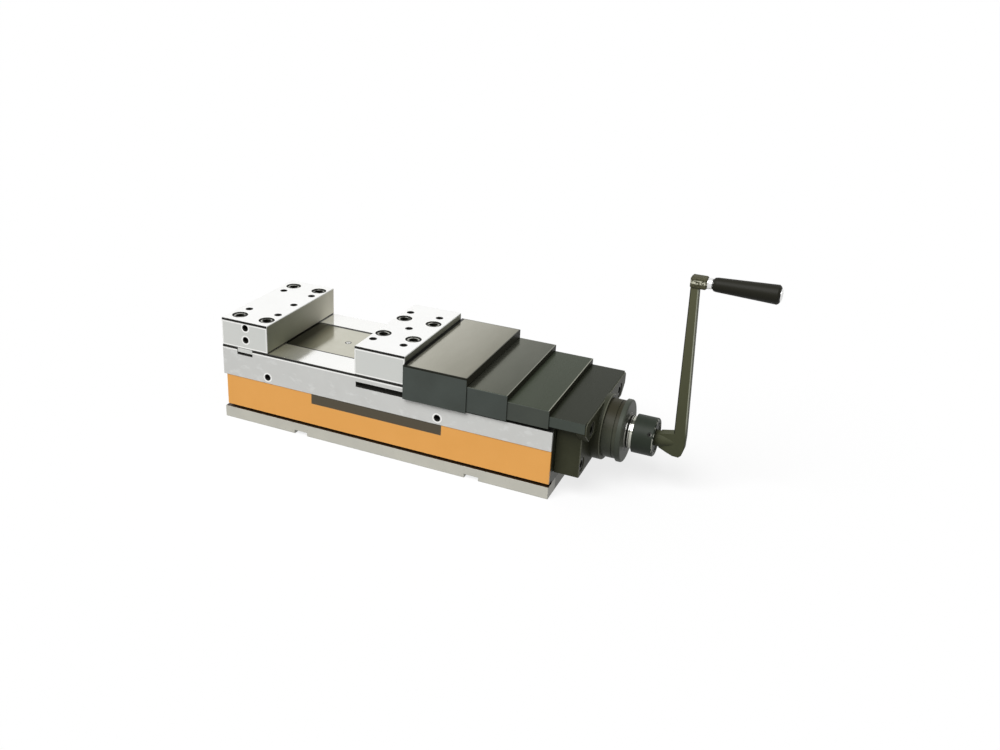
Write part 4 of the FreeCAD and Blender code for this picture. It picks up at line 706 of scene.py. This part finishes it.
# Stage: a pale floor that keeps the vise's shadow, and a plain white surround. What the eye,
# a mirror or glass sees of them is white, and they throw less light back on the vise.

FLOOR_REACH = 30.0
FLOOR_WHITE = 0.99
FLOOR_DULL = 0.25
FLOOR_GLOW = 0.78
AMBIENT = 0.2


def grey(level):
    """A colour without hue, at a level from 0 to 1."""
    return (level, level, level, 1.0)


def seen(recipe):
    """1 for a ray from the eye, a mirror or glass, and 0 for light that is thrown back."""
    path = {output.socket.name: output for output in recipe.node("ShaderNodeLightPath")}
    return path["Is Camera Ray"] | path["Is Glossy Ray"] | path["Is Transmission Ray"]


corners = [(-FLOOR_REACH, -FLOOR_REACH, 0), (FLOOR_REACH, -FLOOR_REACH, 0),
           (FLOOR_REACH, FLOOR_REACH, 0), (-FLOOR_REACH, FLOOR_REACH, 0)]
floor_mesh = bpy.data.meshes.new("floor")
floor_mesh.from_pydata(corners, [], [(0, 1, 2, 3)])
floor = bpy.data.objects.new("floor", floor_mesh)
bpy.context.scene.collection.objects.link(floor)
floor_finish = Finish("floor_white")
seen_floor = seen(floor_finish)
lit = floor_finish.blend(seen_floor, grey(FLOOR_DULL), grey(FLOOR_WHITE - FLOOR_GLOW))
glow = floor_finish.blend(seen_floor, grey(0.0), grey(FLOOR_GLOW))
floor_finish.shine(base_color=lit, roughness=0.9, specular_ior_level=0.0, emission_color=glow,
                   emission_strength=1.0)
floor_mesh.materials.append(floor_finish.material)

world = bpy.data.worlds.new("surround")
bpy.context.scene.world = world
world.use_nodes = True
surround = Recipe(world.node_tree)
background = surround.tree.nodes["Background"]
surround.fill(background.inputs["Color"], grey(1.0))
surround.fill(background.inputs["Strength"], seen(surround) * (1 - AMBIENT) + AMBIENT)

# The lamp: one wide, soft sun, high on the near side and a little to the left. It gives soft
# shadows and lights the floor evenly.

SUN_STRENGTH = 3.4
SUN_WIDTH = math.radians(40)
SUN_SIDE = Vector((-0.2, -0.64, 0.85))

key_lamp = bpy.data.lights.new("key", "SUN")
key_lamp.energy = SUN_STRENGTH
key_lamp.angle = SUN_WIDTH
key = bpy.data.objects.new("key", key_lamp)
bpy.context.scene.collection.objects.link(key)
key.rotation_mode = "QUATERNION"
key.rotation_quaternion = SUN_SIDE.to_track_quat("Z", "Y")

# The camera stands where the photograph was taken from, turned a little about its own line of
# sight. Its focal length and shift are fitted to the vise's corners.

AZIMUTH, ELEVATION, ROLL = math.radians(24.72), math.radians(22.22), math.radians(1.722)
AIM = Vector((0.0304, 0.0, 0.1331))
DISTANCE = 1.2024
FOCAL_LENGTH = 35.81
FILM_WIDTH = 36.0
SHIFT = (0.07, -0.04)
FAR_CLIP = 100.0

camera_data = bpy.data.cameras.new("camera")
camera_data.lens = FOCAL_LENGTH
camera_data.sensor_width = FILM_WIDTH
camera_data.shift_x, camera_data.shift_y = SHIFT
camera_data.clip_end = FAR_CLIP
camera = bpy.data.objects.new("camera", camera_data)
bpy.context.scene.collection.objects.link(camera)
back = Vector((math.sin(AZIMUTH) * math.cos(ELEVATION), -math.cos(AZIMUTH) * math.cos(ELEVATION),
               math.sin(ELEVATION)))
across = Vector((math.cos(AZIMUTH), math.sin(AZIMUTH), 0.0))
over = back.cross(across)
turn = Matrix((across * math.cos(ROLL) + over * math.sin(ROLL),
               over * math.cos(ROLL) - across * math.sin(ROLL), back)).transposed()
camera.matrix_world = Matrix.Translation(AIM + back * DISTANCE) @ turn.to_4x4()
bpy.context.scene.camera = camera
bpy.context.scene.view_settings.view_transform = "Standard"
